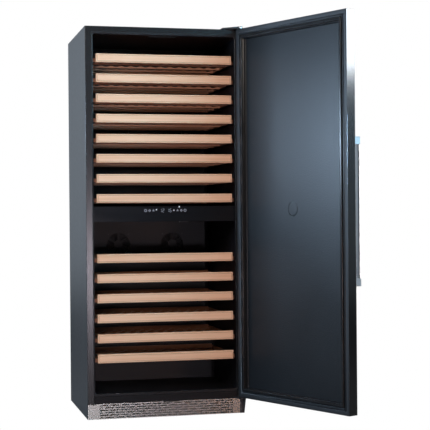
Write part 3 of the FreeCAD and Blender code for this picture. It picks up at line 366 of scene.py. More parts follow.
def stage_floor(name, seen, painted_pool, dark):
    """Pale paper to the eye. What it throws back is painted: dark, with a painted pool of light only in
    front of the kick plate's left end for the plate to reflect, and a dimmer painted pool behind the front
    on the left.
    """
    f = Finish(name)
    side, depth, _ = f.axes(f.place())
    # Painted pools of light on a floor painted dark for reflections: near is the bright patch, behind the
    # dimmer one.
    near = depth.between(-1.5, -0.8) * (depth < FRONT) * (1 - side.between(-0.42, 0.0))
    behind = (depth > FRONT) * (1 - side.between(-0.3, 0.3))
    painted_dim_pool = shade(dark, 9)
    colour = f.blend(near, f.blend(behind, dark, painted_dim_pool), painted_pool)
    f.set(base_color=colour, roughness=0.9, specular=0.0)
    direct = f.node("ShaderNodeLightPath")["Is Camera Ray"]
    bright = f.node("ShaderNodeEmission", {}, {0: seen, 1: 1.0})[0]
    mix = f.node("ShaderNodeMixShader", {}, {0: direct, 2: bright}).node
    f.links.new(f.shader.outputs[0], mix.inputs[1])
    f.links.new(mix.outputs[0], f.nodes["Material Output"].inputs["Surface"])
    return f.material


# ------------------------------------------------------------------ settings
def colour_setting(name, text, value):
    return bpy.props.FloatVectorProperty(
        name=name, description=text, default=value, size=3, min=0, max=1, subtype="COLOR")


def length_setting(name, text, value):
    return bpy.props.FloatProperty(name=name, description=text, default=value * MM, unit="LENGTH",
                                   subtype="DISTANCE", precision=4)


class CoolerColours(bpy.types.PropertyGroup):
    """Colours of the cooler's finishes."""

    cabinet: colour_setting("Cabinet paint", "Paint on the sides and the top", (0.009, 0.0095, 0.0105))
    frame: colour_setting("Front frame", "Face between kick plate and opening", (0.012, 0.012, 0.014))
    plastic: colour_setting("Moulded plastic", "Inner liner and ducts", (0.005, 0.005, 0.0065))
    door_plastic: colour_setting("Door lining", "The door's sunken inner panel", (0.0055, 0.007, 0.009))
    steel: colour_setting("Stainless steel", "Door face and handle", (0.62, 0.63, 0.65))
    kick: colour_setting("Kick plate", "Brushed plate with slots at the foot", (0.5, 0.505, 0.47))
    zinc: colour_setting("Zinc", "Back, base and hidden sheets", (0.45, 0.46, 0.48))
    wood_pale: colour_setting("Pale wood", "Lightest grain of the shelves", (0.785, 0.517, 0.353))
    wood_tan: colour_setting("Tan wood", "Middle grain of the shelves", (0.745, 0.458, 0.301))
    wood_dark: colour_setting("Dark wood", "Darkest grain of the shelves", (0.63, 0.343, 0.202))
    # Painted shade laid over the shelves behind their front bars, for the darkness inside the cabinet.
    painted_shade: colour_setting("Painted shade", "Tint of the shelves behind their front bars", (0.4, 0.27, 0.22))
    display: colour_setting("Display", "Light of the display's figures", (0.55, 0.6, 0.75))


class CoolerSizes(bpy.types.PropertyGroup):
    """Sizes of the details that are added to the frame."""

    seal_inset: length_setting("Seal inset", "From the door's edge to the seal", 30)
    seal_width: length_setting("Seal width", "Across the seal", 13.5)
    seal_depth: length_setting("Seal depth", "From the ledge to the seal's crown", 17.5)
    trim_width: length_setting("Trim width", "Dark band round the door's inner face", 17)
    grip_round: length_setting("Grip rounding", "Radius on the outer corners of the handle's bar", 9)
    digit_height: length_setting("Digit height", "Height of the display's figures", 15)
    rib_depth: length_setting("Rib depth", "How far the back panel's ribs stand out", 1.6)
    fan_blades: bpy.props.IntProperty(
        name="Fan blades", description="Blades on each fan", default=7, min=3, max=11)


# ------------------------------------------------------------------ modelling
def settings():
    return bpy.context.scene.cooler_colours, bpy.context.scene.cooler_sizes


FINISHES = {}
WELD = 1e-6
FORWARD = (0, -1, 0)


def finish(name):
    """The material of that name, made once."""
    if name not in FINISHES:
        c = settings()[0]
        makers = {
            "cabinet paint": lambda: painted_sheet("cabinet_paint", c.cabinet, 0.42, 0.7, front=0.25),
            "frame": lambda: painted_sheet("frame_paint", shade(c.frame, 0.6), 0.36, 0.05, specular=0.12),
            "black metal": lambda: painted_sheet("black_metal", (0.015, 0.015, 0.017), 0.4),
            "bead": lambda: painted_sheet("rim_bead", (0.008, 0.0095, 0.012), 0.3, 0.05, specular=0.35),
            "trim": lambda: painted_sheet("edge_trim", (0.008, 0.009, 0.011), 0.5, 0.4),
            "zinc sheet": lambda: zinc_sheet("zinc_sheet", c.zinc),
            "kick steel": lambda: brushed_steel("kick_steel", c.kick, "x", 0.25, 0.0, 0.04, 0.0),
            "handle steel": lambda: brushed_steel("handle_steel", c.steel, "z", 0.5, 0.02, 0.1, 0.0),
            "grip steel": lambda: brushed_steel("grip_steel", c.steel, "z", 0.2, 0.01, 0.08, 0.0),
            "bright zinc": lambda: brushed_steel("bright_zinc", (0.66, 0.67, 0.7), "z", 0.28),
            "fins": lambda: brushed_steel("coil_aluminium", (0.7, 0.71, 0.73), "z", 0.4),
            "door sheet": lambda: door_sheet("door_sheet", c.steel),
            "liner": lambda: moulding("liner_plastic", c.plastic, 1300, 0.12, 0.45, 0.25),
            # The duct plastic is the liner plastic made 1.6 times lighter: painted light, so the duct's
            # step face reads lighter than the liner.
            "duct": lambda: moulding("lit_duct_plastic", shade(c.plastic, 1.6), 1000, 0.2, 0.5, 0.3),
            "door lining": lambda: moulding("door_lining", c.door_plastic, 220, 0.8, 0.35, 0.35),
            "fan": lambda: moulding("fan_plastic", (0.012, 0.012, 0.013), 1500, 0.1, 0.5),
            "bush": lambda: moulding("bush_plastic", (0.05, 0.05, 0.052), 1500, 0.1, 0.5),
            "panel": lambda: gloss("panel_gloss", (0.005, 0.0052, 0.0068), 0.08),
            "lip": lambda: gloss("opening_lip", (0.006, 0.0065, 0.0075), 0.22),
            "rubber": lambda: rubber("seal_rubber", (0.008, 0.0085, 0.0095)),
            "wood": lambda: timber("shelf_timber", c.wood_pale, c.wood_tan, c.wood_dark, c.painted_shade),
            # Painted shade for the groove routed round each shelf's front bar: the dark wood darkened
            # further.
            "groove shade": lambda: timber("painted_groove_shade", *(shade(c.wood_dark, k) for k in (0.55, 0.4, 0.3))),
            "board": lambda: circuit("circuit_board", (0.02, 0.1, 0.04), (0.45, 0.3, 0.1)),
            "lamp": lambda: glowing("lamp_cover", (0.01, 0.011, 0.013), (0.3, 0.36, 0.45), 0.02),
            "glyph": lambda: glowing("display_glyph", (0.1, 0.1, 0.12), c.display, 0.28),
            "diode": lambda: glowing("status_diode", (0.7, 0.72, 0.78), (0.8, 0.84, 1.0), 0.6),
            "foam": lambda: foam("insulation_foam", (0.05, 0.05, 0.048)),
        }
        FINISHES[name] = makers[name]()
    return FINISHES[name]


def piece(name, bm, body, material, replaces=(), smooth=35):
    """Turns a bmesh into a piece that rides on a body, with faces pointing out and creases kept."""
    bmesh.ops.recalc_face_normals(bm, faces=bm.faces)
    mesh = bpy.data.meshes.new(name)
    bm.to_mesh(mesh)
    bm.free()
    made = bpy.data.objects.new(name, mesh)
    bpy.context.scene.collection.objects.link(made)
    mesh.materials.append(finish(material))
    mesh.shade_smooth()
    mesh.set_sharp_from_angle(angle=math.radians(smooth))
    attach(made, body)
    if replaces:
        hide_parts(*replaces)
    return made


def block(bm, low, high, bevel=0.0, segments=2):
    """A rounded block between two corners."""
    low, high = Vector(low), Vector(high)
    matrix = Matrix.Translation((low + high) / 2) @ Matrix.Diagonal((*(high - low), 1))
    verts = bmesh.ops.create_cube(bm, size=1, matrix=matrix)["verts"]
    if bevel:
        edges = {e for v in verts for e in v.link_edges}
        bmesh.ops.bevel(bm, geom=list(edges), offset=bevel, segments=segments, profile=0.5,
                        affect="EDGES", material=-1, clamp_overlap=True)
    return verts


def turned(bm, profile, place=Matrix.Identity(4), steps=40):
    """Spins a half section of (radius, height) points in millimetres round Z, then places it."""
    verts = [bm.verts.new((r * MM, 0, z * MM)) for r, z in profile]
    edges = [bm.edges.new(pair) for pair in zip(verts, verts[1:])]
    before = set(bm.verts) - set(verts)
    bmesh.ops.spin(bm, geom=verts + edges, cent=(0, 0, 0), axis=(0, 0, 1), dvec=(0, 0, 0),
                   angle=math.tau, steps=steps, use_merge=True, use_normal_flip=False,
                   use_duplicate=False)
    mine = [v for v in bm.verts if v not in before]
    bmesh.ops.remove_doubles(bm, verts=mine, dist=WELD)
    mine = [v for v in bm.verts if v not in before]
    bmesh.ops.transform(bm, matrix=place, verts=mine)
    return mine


def facing(direction, at):
    """A placement whose Z axis points along a direction."""
    return Matrix.Translation(at) @ Vector(direction).to_track_quat("Z", "Y").to_matrix().to_4x4()


def swept_frame(bm, section, x, z, place):
    """Carries a closed section of (inset, depth) points round a rectangle with mitred corners."""
    corners = [(x[0], z[0], 1, 1), (x[1], z[0], -1, 1), (x[1], z[1], -1, -1), (x[0], z[1], 1, -1)]

    def spots(corner):
        cx, cz, sx, sz = corner
        return [Vector((cx + sx * inset, depth, cz + sz * inset)) * MM for inset, depth in section]

    first = [bm.verts.new(p) for p in spots(corners[0])]
    loop = [bm.edges.new(pair) for pair in zip(first, first[1:] + first[:1])]
    for corner in corners[1:] + corners[:1]:
        made = bmesh.ops.extrude_edge_only(bm, edges=loop)["geom"]
        fresh = [g for g in made if isinstance(g, bmesh.types.BMVert)]
        old = spots(corners[corners.index(corner) - 1])
        for vert in fresh:
            index = min(range(len(old)), key=lambda i: (old[i] - vert.co).length)
            vert.co = spots(corner)[index]
        loop = [g for g in made if isinstance(g, bmesh.types.BMEdge)
                and all(v in fresh for v in g.verts)]
    bmesh.ops.remove_doubles(bm, verts=bm.verts, dist=WELD)
    bmesh.ops.transform(bm, matrix=place, verts=bm.verts)


# ------------------------------------------------------------------ operators
class CoolerOperator:
    """What every operator of this add-on shares."""

    bl_options = {"REGISTER", "UNDO"}

    def execute(self, context):
        colours, sizes = settings()
        self.build(colours, sizes)
        return {"FINISHED"}


SHELVES = [name for name in frame["nodes"] if name.startswith("shelf_") and name[6:].isdigit()]
NODE_FINISHES = {
    "cabinet paint": ["side_panel_left", "side_panel_right", "top_panel"],
    "zinc sheet": ["back_panel", "rear_cover", "compartment_bulkhead"],
    "kick steel": ["kick_plate"],
    "handle steel": ["handle_bar", "handle_posts"],
    "door sheet": ["door_skin"],
    # The base pan behind the kick plate wears the dark frame paint: painted shade seen through the kick
    # plate's slots.
    "frame": ["lower_front_rail", "base_pan"],
    "liner": ["inner_liner", "shelf_runners_left", "shelf_runners_right", "divider_shell"],
    "duct": ["duct_cover_upper", "duct_cover_lower", "drip_tray", "cable_gland"],
    "door lining": ["door_liner", "door_plug"],
    "fan": ["fan_housings", "fan_rotor_upper_left", "fan_rotor_upper_right", "fan_rotor_lower_left",
            "fan_rotor_lower_right", "fan_rotor_condenser"],
    "black metal": ["top_hinge_bracket", "bottom_hinge_bracket", "top_hinge_cover", "compressor",
                    "condenser"],
    "bush": ["hinge_bushes"],
    "panel": ["control_panel"],
    "board": ["control_board"],
    "lamp": ["zone_lamps"],
    "foam": ["insulation_foam", "door_foam"],
    "rubber": ["door_gasket", "compressor_grommets"],
    "fins": ["evaporator_upper", "evaporator_lower"],
    "bright zinc": ["hinge_pins", "cabinet_screws", "levelling_feet"],
    "wood": SHELVES,
}


class COOLER_OT_finishes(CoolerOperator, bpy.types.Operator):
    """Gives every part of the frame its finish"""

    bl_idname = "cooler.finishes"
    bl_label = "Frame Finishes"

    def build(self, colours, sizes):
        for name, nodes in NODE_FINISHES.items():
            for node in nodes:
                materials = frame["nodes"][node].data.materials
                materials.clear()
                materials.append(finish(name))


class COOLER_OT_door_seal(CoolerOperator, bpy.types.Operator):
    """Builds the door's magnetic seal, a bellows with mitred corners"""

    bl_idname = "cooler.door_seal"
    bl_label = "Door Seal"

    def build(self, colours, sizes):
        width, depth = sizes.seal_width / MM, sizes.seal_depth / MM
        half, inset = width / 2, sizes.seal_inset / MM + width / 2
        proud = 5.5
        base = DOOR["inner"] + proud - depth
        side = [(1.0, 0.0), (1.0, 0.2), (0.8, 0.28), (0.96, 0.38), (1.0, 0.46), (0.78, 0.56), (0.94, 0.66)]
        for angle in map(math.radians, range(0, 91, 15)):
            side.append((0.6 + 0.4 * math.cos(angle), 0.78 + 0.22 * math.sin(angle)))
        side.append((0.0, 1.0))
        section = [(inset - u * half, base + v * depth) for u, v in side]
        section += [(inset + u * half, base + v * depth) for u, v in reversed(side[:-1])]
        bm = bmesh.new()
        swept_frame(bm, section, DOOR_WIDE, DOOR_TALL, HANG)
        piece("door_seal", bm, "door", "rubber", ["door_gasket"], 40)


class COOLER_OT_trims(CoolerOperator, bpy.types.Operator):
    """Builds the trim and the bead round the door's inner face, and the rounded lip of the opening"""

    bl_idname = "cooler.trims"
    bl_label = "Trims"

    def build(self, colours, sizes):
        inner = DOOR["inner"]
        wide = sizes.trim_width / MM
        section = [(0.4, inner - 0.3), (0.6, inner + 0.5), (1.4, inner + 0.7), (wide - 0.8, inner + 0.7),
                   (wide, inner + 0.3), (wide, inner - 0.3)]
        bm = bmesh.new()
        swept_frame(bm, section, DOOR_WIDE, DOOR_TALL, HANG)
        piece("door_edge_trim", bm, "door", "trim")
        radius, middle, sunk = 3.2, wide + 3.6, inner - 0.6
        section = []
        for angle in map(math.radians, range(0, 181, 15)):
            section.append((middle - radius * math.cos(angle), sunk + radius * math.sin(angle)))
        bm = bmesh.new()
        swept_frame(bm, section, DOOR_WIDE, DOOR_TALL, HANG)
        piece("door_rim_bead", bm, "door", "bead", smooth=60)
        bm = bmesh.new()
        self.bead(bm, half=321.0, z=(118.0, 1695.0), y=FRONT / MM + 1.65, radius=2.0, corner=9)
        piece("opening_lip", bm, "cabinet", "lip", smooth=60)

    def bead(self, bm, half, z, y, radius, corner):
        """A round bead carried round the opening, with its corners turned on a radius."""
        spots = []
        for index, (sx, sz) in enumerate(((1, 1), (-1, 1), (-1, -1), (1, -1))):
            middle_x = sx * (half - corner)
            middle_z = (z[1] if sz > 0 else z[0]) - sz * corner
            for step in range(7):
                angle = math.radians(index * 90 + step * 15)
                across, up = corner * math.cos(angle), corner * math.sin(angle)
                spots.append((middle_x + across, middle_z + up, angle))
        rings = []
        for x, height, angle in spots:
            turn = Matrix.Translation(Vector((x, y, height)) * MM) @ Matrix.Rotation(-angle, 4, "Y")
            made = bmesh.ops.create_circle(bm, segments=16, radius=radius * MM, matrix=turn)["verts"]
            rings.append({e for v in made for e in v.link_edges})
        for first, second in zip(rings, rings[1:] + rings[:1]):
            bmesh.ops.bridge_loops(bm, edges=list(first | second))


SEGMENTS = {"1": "bc", "2": "abged", "6": "afgedc"}


FIGURES = ((-24, "12"), (9, "16"))
SYMBOLS = ((-88, 24), (-70, 4), (-53, 3), (56, 3), (73, 4), (90, 24))
DIODES = ((-39.5, 915), (39.5, 912))
FIGURE_BASE = 904
FILM = 0.0003


def segment(bm, letter, corner, size, y):
    """One bar of a seven-segment figure, a thin lozenge on the display."""
    wide, tall, thin = size * 0.5, size, size * 0.16
    middle = tall / 2
    spans = {
        "a": ((0, tall), (wide, tall)), "g": ((0, middle), (wide, middle)), "d": ((0, 0), (wide, 0)),
        "f": ((0, middle), (0, tall)), "b": ((wide, middle), (wide, tall)),
        "e": ((0, 0), (0, middle)), "c": ((wide, 0), (wide, middle)),
    }
    (x0, z0), (x1, z1) = spans[letter]
    gap = thin * 0.75
    flat = z0 == z1
    grow_x, grow_z = (-gap, thin / 2) if flat else (thin / 2, -gap)
    low = (corner[0] + x0 - grow_x, y, corner[1] + z0 - grow_z)
    high = (corner[0] + x1 + grow_x, y + FILM, corner[1] + z1 + grow_z)
    block(bm, low, high, thin * 0.25, 1)


class COOLER_OT_display(CoolerOperator, bpy.types.Operator):
    """Builds the figures, the symbols and the two diodes of the control panel"""

    bl_idname = "cooler.display"
    bl_label = "Display"

    def build(self, colours, sizes):
        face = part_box("control_panel")[0].y
        y = face - 0.0002
        tall = sizes.digit_height
        base = BODY_FLOOR + FIGURE_BASE * MM
        bm = bmesh.new()
        for x, figures in FIGURES:
            for i, figure in enumerate(figures):
                for letter in SEGMENTS[figure]:
                    segment(bm, letter, (x * MM + i * tall * 0.78, base), tall, y)
        for x, sides in SYMBOLS:
            self.ring(bm, sides, Vector((x * MM, y, base + tall / 2)), tall * 0.42, tall * 0.17)
        piece("display_figures", bm, "cabinet", "glyph")
        bm = bmesh.new()
        dome = [(0, 0.9), (1.4, 0.75), (2.3, 0.3), (2.5, -0.2), (0, -0.2)]
        for x, z in DIODES:
            turned(bm, dome, facing(FORWARD, (x * MM, face, BODY_FLOOR + z * MM)), 20)
        # The bright triangle above the right figures is a symbol on the panel, lit as brightly as the
        # diodes to paint a glint there.
        self.ring(bm, 3, Vector((64 * MM, y, base + tall * 1.55)), tall * 0.3, tall * 0.13)
        piece("status_diodes", bm, "cabinet", "diode")

    def ring(self, bm, sides, at, radius, thick):
        """The outline of a circle, a square or a triangle."""
        made = bmesh.ops.create_circle(bm, cap_ends=True, segments=sides, radius=radius,
                                       matrix=facing(FORWARD, at))
        disc = list({f for v in made["verts"] for f in v.link_faces})
        rim = bmesh.ops.inset_region(bm, faces=disc, thickness=thick, use_boundary=True,
                                     use_even_offset=True)["faces"]
        bmesh.ops.delete(bm, geom=disc, context="FACES_ONLY")
        grown = bmesh.ops.extrude_face_region(bm, geom=rim, use_keep_orig=True)["geom"]
        fresh = [g for g in grown if isinstance(g, bmesh.types.BMVert)]
        bmesh.ops.translate(bm, vec=(0, 0.0004, 0), verts=fresh)


class COOLER_OT_grip(CoolerOperator, bpy.types.Operator):
    """Builds the handle's bar with well rounded corners"""

    bl_idname = "cooler.grip"
    bl_label = "Handle Bar"

    def build(self, colours, sizes):
        wide, deep, low, high = 20, 15, 626, 1174
        x = DOOR["free_edge"] + 25
        y = DOOR["outer"] - 52
        bm = bmesh.new()
        verts = block(bm, Vector((x, y, low)) * MM, Vector((x + wide, y + deep, high)) * MM)
        upright = {e for v in verts for e in v.link_edges if abs(e.verts[0].co.z - e.verts[1].co.z) > 0.1}
        outer = [e for e in upright if e.verts[0].co.y < (y + 1) * MM]
        bmesh.ops.bevel(bm, geom=outer, offset=sizes.grip_round, segments=8, profile=0.5,
                        affect="EDGES", material=-1)
        bmesh.ops.transform(bm, matrix=HANG, verts=bm.verts)
        piece("grip_bar", bm, "door", "grip steel", ["handle_bar"], 50)


SCREW_HEAD = [(0, -5), (1.9, -5), (1.9, 0), (4, 0), (4, 0.7), (3.4, 1.6), (2.2, 2.1), (1.7, 2.15),
              (1.6, 0.9), (0, 0.8)]


class COOLER_OT_screws(CoolerOperator, bpy.types.Operator):
    """Builds the cabinet's screws, domed heads with a round socket"""

    bl_idname = "cooler.screws"
    bl_label = "Screws"

    def build(self, colours, sizes):
        half = CABINET_HIGH.x / MM
        front, back = FRONT / MM, BACK / MM
        floor, roof = BODY_FLOOR / MM, CABINET_HIGH.z / MM
        bright = [(FORWARD, (-(half - 13), front, floor + 6))]
        bright += [((0, 0, 1), (x, front + 53, roof + 3.5)) for x in (280, 305, 335)]
        bright += [((0, 1, 0), (x, back, floor + z)) for x in (-330, 330) for z in (30, 200)]
        dark = [(FORWARD, (half - 11, front - 3, floor + z)) for z in (18, 46)]
        self.heads("screw_heads", bright, "bright zinc", "zinc", ["cabinet_screws"])
        self.heads("leg_screws", dark, "black metal", "black_metal")

    def heads(self, name, spots, material, slot, replaces=()):
        bm = bmesh.new()
        for direction, at in spots:
            turned(bm, SCREW_HEAD, facing(direction, Vector(at) * MM), 24)
        piece(name, bm, "cabinet", material, replaces)


class COOLER_OT_fans(CoolerOperator, bpy.types.Operator):
    """Builds the fan wheels, a domed hub with swept blades of bent sheet"""

    bl_idname = "cooler.fans"
    bl_label = "Fan Wheels"

    def build(self, colours, sizes):
        recess = 2.5 * MM
        for joint in frame["joints"]:
            if not joint.get("continuous"):
                continue
            body = joint["child"]
            node = "fan_rotor_" + body[len("fan_"):]
            axis = Vector(joint["axis"])
            low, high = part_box(node)
            bm = bmesh.new()
            hub = [(0, 3), (9, 3), (15, 3.6), (17.4, 5), (18, 7), (18, 19), (16.8, 19), (16.8, 17),
                   (2, 17), (2, 23.9), (0, 23.9)]
            turned(bm, hub, steps=36)
            self.blades(bm, sizes.fan_blades)
            along = axis.to_track_quat("Z", "Y").to_matrix().to_4x4()
            centre = (low + high) / 2
            start = centre - axis * centre.dot(axis)
            start += axis * (low.dot(axis) - recess)
            bmesh.ops.transform(bm, matrix=Matrix.Translation(start) @ along, verts=bm.verts)
            piece("wheel_" + body, bm, body, "fan", [node])

    def blades(self, bm, count):
        """Each blade is a grid bent to the fan's pitch, then given its thickness."""
        root, reach, sheet = 17, 35.5, 1.4
        for i in range(count):
            made = bmesh.ops.create_grid(bm, x_segments=8, y_segments=6, size=1)["verts"]
            for vert in made:
                across, along = (vert.co.x + 1) / 2, vert.co.y
                radius = root + across * reach
                sweep = math.radians(along * (17 + 5 * across) + across * across * 14)
                height = 11 - along * (6.5 - 1.5 * across) + 1.2 * (1 - along * along)
                vert.co = Vector((radius * math.cos(sweep), radius * math.sin(sweep), height)) * MM
            faces = list({f for v in made for f in v.link_faces})
            grown = bmesh.ops.solidify(bm, geom=faces, thickness=sheet * MM)["geom"]
            mine = set(made) | {g for g in grown if isinstance(g, bmesh.types.BMVert)}
            turn = Matrix.Rotation(math.tau * i / count, 4, "Z")
            bmesh.ops.transform(bm, matrix=turn, verts=list(mine))


RIB_COLUMNS = (-0.235, -0.16, -0.0375, 0.0375, 0.16, 0.235)
RIB_ROWS = (0.06, 0.47, 0.53, 0.94)
RIB_STEPS = ((0.006, 0.0), (0.009, 1.0))


class COOLER_OT_back_sheet(CoolerOperator, bpy.types.Operator):
    """Builds the back sheet with pressed ribs"""

    bl_idname = "cooler.back_sheet"
    bl_label = "Back Sheet"

    def build(self, colours, sizes):
        low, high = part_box("back_panel")
        tall = high.z - low.z
        bm = bmesh.new()
        block(bm, low, high)
        cuts = [((x, 0, 0), (1, 0, 0)) for x in RIB_COLUMNS]
        cuts += [((0, 0, low.z + tall * share), (0, 0, 1)) for share in RIB_ROWS]
        for spot, normal in cuts:
            bmesh.ops.bisect_plane(bm, geom=bm.verts[:] + bm.edges[:] + bm.faces[:], plane_co=spot,
                                   plane_no=normal, dist=1e-7)
        edge, inner, middle_edge = RIB_COLUMNS[-1], RIB_COLUMNS[-2], RIB_COLUMNS[-3]
        for face in [f for f in bm.faces if f.normal.y > 0.9]:
            middle = face.calc_center_median()
            share = (middle.z - low.z) / tall
            column = abs(middle.x) < middle_edge or inner < abs(middle.x) < edge
            if column and (RIB_ROWS[0] < share < RIB_ROWS[1] or RIB_ROWS[2] < share < RIB_ROWS[3]):
                for inset, rise in RIB_STEPS:
                    bmesh.ops.inset_region(bm, faces=[face], thickness=inset, use_even_offset=True)
                    bmesh.ops.translate(bm, vec=(0, rise * sizes.rib_depth, 0), verts=face.verts)
        piece("back_sheet", bm, "cabinet", "zinc sheet", ["back_panel"], 20)


class COOLER_OT_motor(CoolerOperator, bpy.types.Operator):
    """Builds the compressor: a welded can with a seam, a terminal box, feet and tube stubs"""

    bl_idname = "cooler.motor"
    bl_label = "Compressor"

    def build(self, colours, sizes):
        low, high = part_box("compressor")
        middle = Vector((-0.190, (low.y + high.y) / 2, low.z))
        bm = bmesh.new()
        can = [(0, 2), (52, 2), (59, 8), (62, 18), (62, 60), (62, 61), (64.5, 62), (64.5, 67), (62, 68),
               (62, 96), (59, 108), (50, 117), (34, 122), (0, 123)]
        turned(bm, can, Matrix.Translation(middle), 64)
        foot = Vector((0.095, 0.05, 0.003))
        block(bm, middle - Vector((foot.x, foot.y, 0)), middle + foot, 0.0008)
        terminals = (Vector((-0.022, -0.067, 0.04)), Vector((0.022, -0.05, 0.085)))
        block(bm, middle + terminals[0], middle + terminals[1], 0.003, 3)
        stub = [(0, 0), (4.6, 0), (4.6, 5), (4, 6), (4, 24), (3.2, 24), (3.2, 12), (0, 12)]
        for rise in (40, 65, 90):
            turned(bm, stub, facing((1, 0, 0), middle + Vector((0.058, 0, rise * MM))), 20)
        piece("compressor_can", bm, "cabinet", "black metal", ["compressor"])


class COOLER_OT_feet(CoolerOperator, bpy.types.Operator):
    """Builds the four levelling feet, each with a flanged pad and a threaded stud"""

    bl_idname = "cooler.feet"
    bl_label = "Levelling Feet"

    def build(self, colours, sizes):
        low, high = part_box("levelling_feet")
        pad, shank, root, pitch = 19, 5, 4.4, 1.2
        foot = [(0, 0), (17, 0), (18.7, 0.7), (pad, 1.8), (pad, 4.5), (18.4, 5.2), (12, 5.8), (11, 7.9)]
        foot.append((shank, 8))
        rise = 8.0
        while rise < 25:
            foot += [(root, rise + 0.1), (shank, rise + pitch / 2)]
            rise += pitch
        foot += [(4.2, 25.6), (0, 26)]
        bm = bmesh.new()
        for x in (low.x + pad * MM, high.x - pad * MM):
            for y in (low.y + pad * MM, high.y - pad * MM):
                turned(bm, foot, Matrix.Translation((x, y, low.z)), 32)
        piece("adjustable_feet", bm, "cabinet", "bright zinc", ["levelling_feet"])


class COOLER_OT_hinge_hardware(CoolerOperator, bpy.types.Operator):
    """Builds the hinge bolts, the sloping hinge cover and the plug in the door"""

    bl_idname = "cooler.hinge_hardware"
    bl_label = "Hinge Hardware"

    def build(self, colours, sizes):
        low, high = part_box("hinge_pins")
        bm = bmesh.new()
        shank = (high.z - low.z) / MM
        top = [(0, shank - 29.5), (4.4, shank - 29.5), (5, shank - 28.7), (5, shank - 6), (8, shank - 6),
               (8, shank - 1.2), (7, shank), (3.2, shank), (3, shank - 3), (0, shank - 3)]
        bottom = [(0, 0), (5, 0), (5, 3.5), (8, 3.5), (8, 5.5), (5, 5.5), (5, 23.4), (4.4, 24), (0, 24)]
        for section in (top, bottom):
            turned(bm, section, Matrix.Translation((PIVOT.x, PIVOT.y, low.z)), 36)
        piece("hinge_bolts", bm, "cabinet", "bright zinc", ["hinge_pins"])
        low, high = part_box("top_hinge_cover")
        bm = bmesh.new()
        block(bm, low, high)
        for vert in bm.verts:
            if vert.co.x < low.x + MM and vert.co.z > high.z - MM:
                vert.co.z = low.z + 1.5 * MM
        upper = [e for e in bm.edges if max(v.co.z for v in e.verts) > low.z + MM]
        bmesh.ops.bevel(bm, geom=upper, offset=1.2 * MM, segments=3, profile=0.5, affect="EDGES",
                        material=-1)
        piece("hinge_cover", bm, "cabinet", "black metal", ["top_hinge_cover"])
        bm = bmesh.new()
        disc = [(0, 0), (30, 0), (30, 2.2), (29.6, 2.8), (29, 3), (27.2, 3), (26.8, 2.5), (26.2, 2.5),
                (25.8, 3), (12, 3.15), (0, 3.2)]
        spot = Vector((DOOR["hinge_edge"] - 351, DOOR["inner"] - 22.4, 913)) * MM
        turned(bm, disc, HANG @ facing((0, 1, 0), spot), 64)
        piece("panel_plug", bm, "door", "door lining", ["door_plug"])


class COOLER_OT_lamps(CoolerOperator, bpy.types.Operator):
    """Builds the lamp covers, each a thin block with rounded edges"""

    bl_idname = "cooler.lamps"
    bl_label = "Lamp Covers"

    def build(self, colours, sizes):
        low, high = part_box("zone_lamps")
        deep, thin = 0.016, 0.003
        bm = bmesh.new()
        block(bm, (0.068, low.y, low.z), (0.106, low.y + deep, low.z + thin), MM, 3)
        block(bm, (-0.060, high.y - deep, high.z - thin), (0.060, high.y, high.z), MM, 3)
        piece("lamp_covers", bm, "cabinet", "lamp", ["zone_lamps"])


class COOLER_OT_shelf_lines(CoolerOperator, bpy.types.Operator):
    """Builds the painted shade of the groove routed round the face of each shelf's front bar: a dark line
    set just behind the face
    """

    bl_idname = "cooler.shelf_lines"
    bl_label = "Shelf Lines"

    def build(self, colours, sizes):
        edge, wide, half = 5.2, 1.8, 305
        near, deep = FRONT / MM + 0.02, FRONT / MM + 0.55
        section = [(edge, near), (edge + wide, near), (edge + wide, deep), (edge, deep)]
        for name in SHELVES:
            low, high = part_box(name)
            bm = bmesh.new()
            swept_frame(bm, section, (-half, half), (low.z / MM, high.z / MM), Matrix.Identity(4))
            piece("line_" + name, bm, name, "groove shade")


# ------------------------------------------------------------------ stage
CAMERA = {
    "place": (-1.0844, -5.6852, 0.9023), "azimuth": 13.664, "pitch": -0.051, "roll": -0.467,
    "lens": 103.80, "sensor": 36,
}
FLOOR_RADIUS = 9.0
LIGHTS = [
    # name, place, target, width, height, power, spread, colour
    ("Front", (-1.6, -4.0, 2.7), (0.0, -0.3, 1.0), 1.0, 1.0, 103, 180, (1.0, 0.9, 0.81)),
    ("Right", (2.2, -3.0, 2.0), (-0.2, -0.3, 1.85), 1.0, 1.0, 20, 70, (0.36, 0.74, 1.0)),
    ("Left wall", (-3.0, -0.35, 1.4), (0.5, -0.66, 1.24), 1.7, 0.3, 116, 180, (0.56, 0.76, 1.0)),
    ("Edge", (3.4, -2.1, 2.42), (0.63, -0.96, 1.8), 1.2, 1.2, 10, 180, (0.92, 0.96, 1.0)),
    ("Strip", (3.0, -0.2, 0.9), (0.66, -1.05, 0.9), 0.3, 1.0, 14, 180, (1.0, 0.98, 0.96)),
    ("Warm fill", (1.9, -4.8, 0.35), (0.0, -0.3, 0.9), 0.6, 0.6, 16, 180, (1.0, 0.55, 0.38)),
    ("Low front", (0.52, -6.6, 0.38), (-0.34, -0.3, 0.6), 0.35, 0.35, 42, 180, (0.97, 0.88, 1.0)),
    ("Top", (0.4, 1.6, 4.2), (0.0, 0.2, 0.0), 2.5, 2.5, 50, 180, (1.0, 1.0, 1.0)),
]


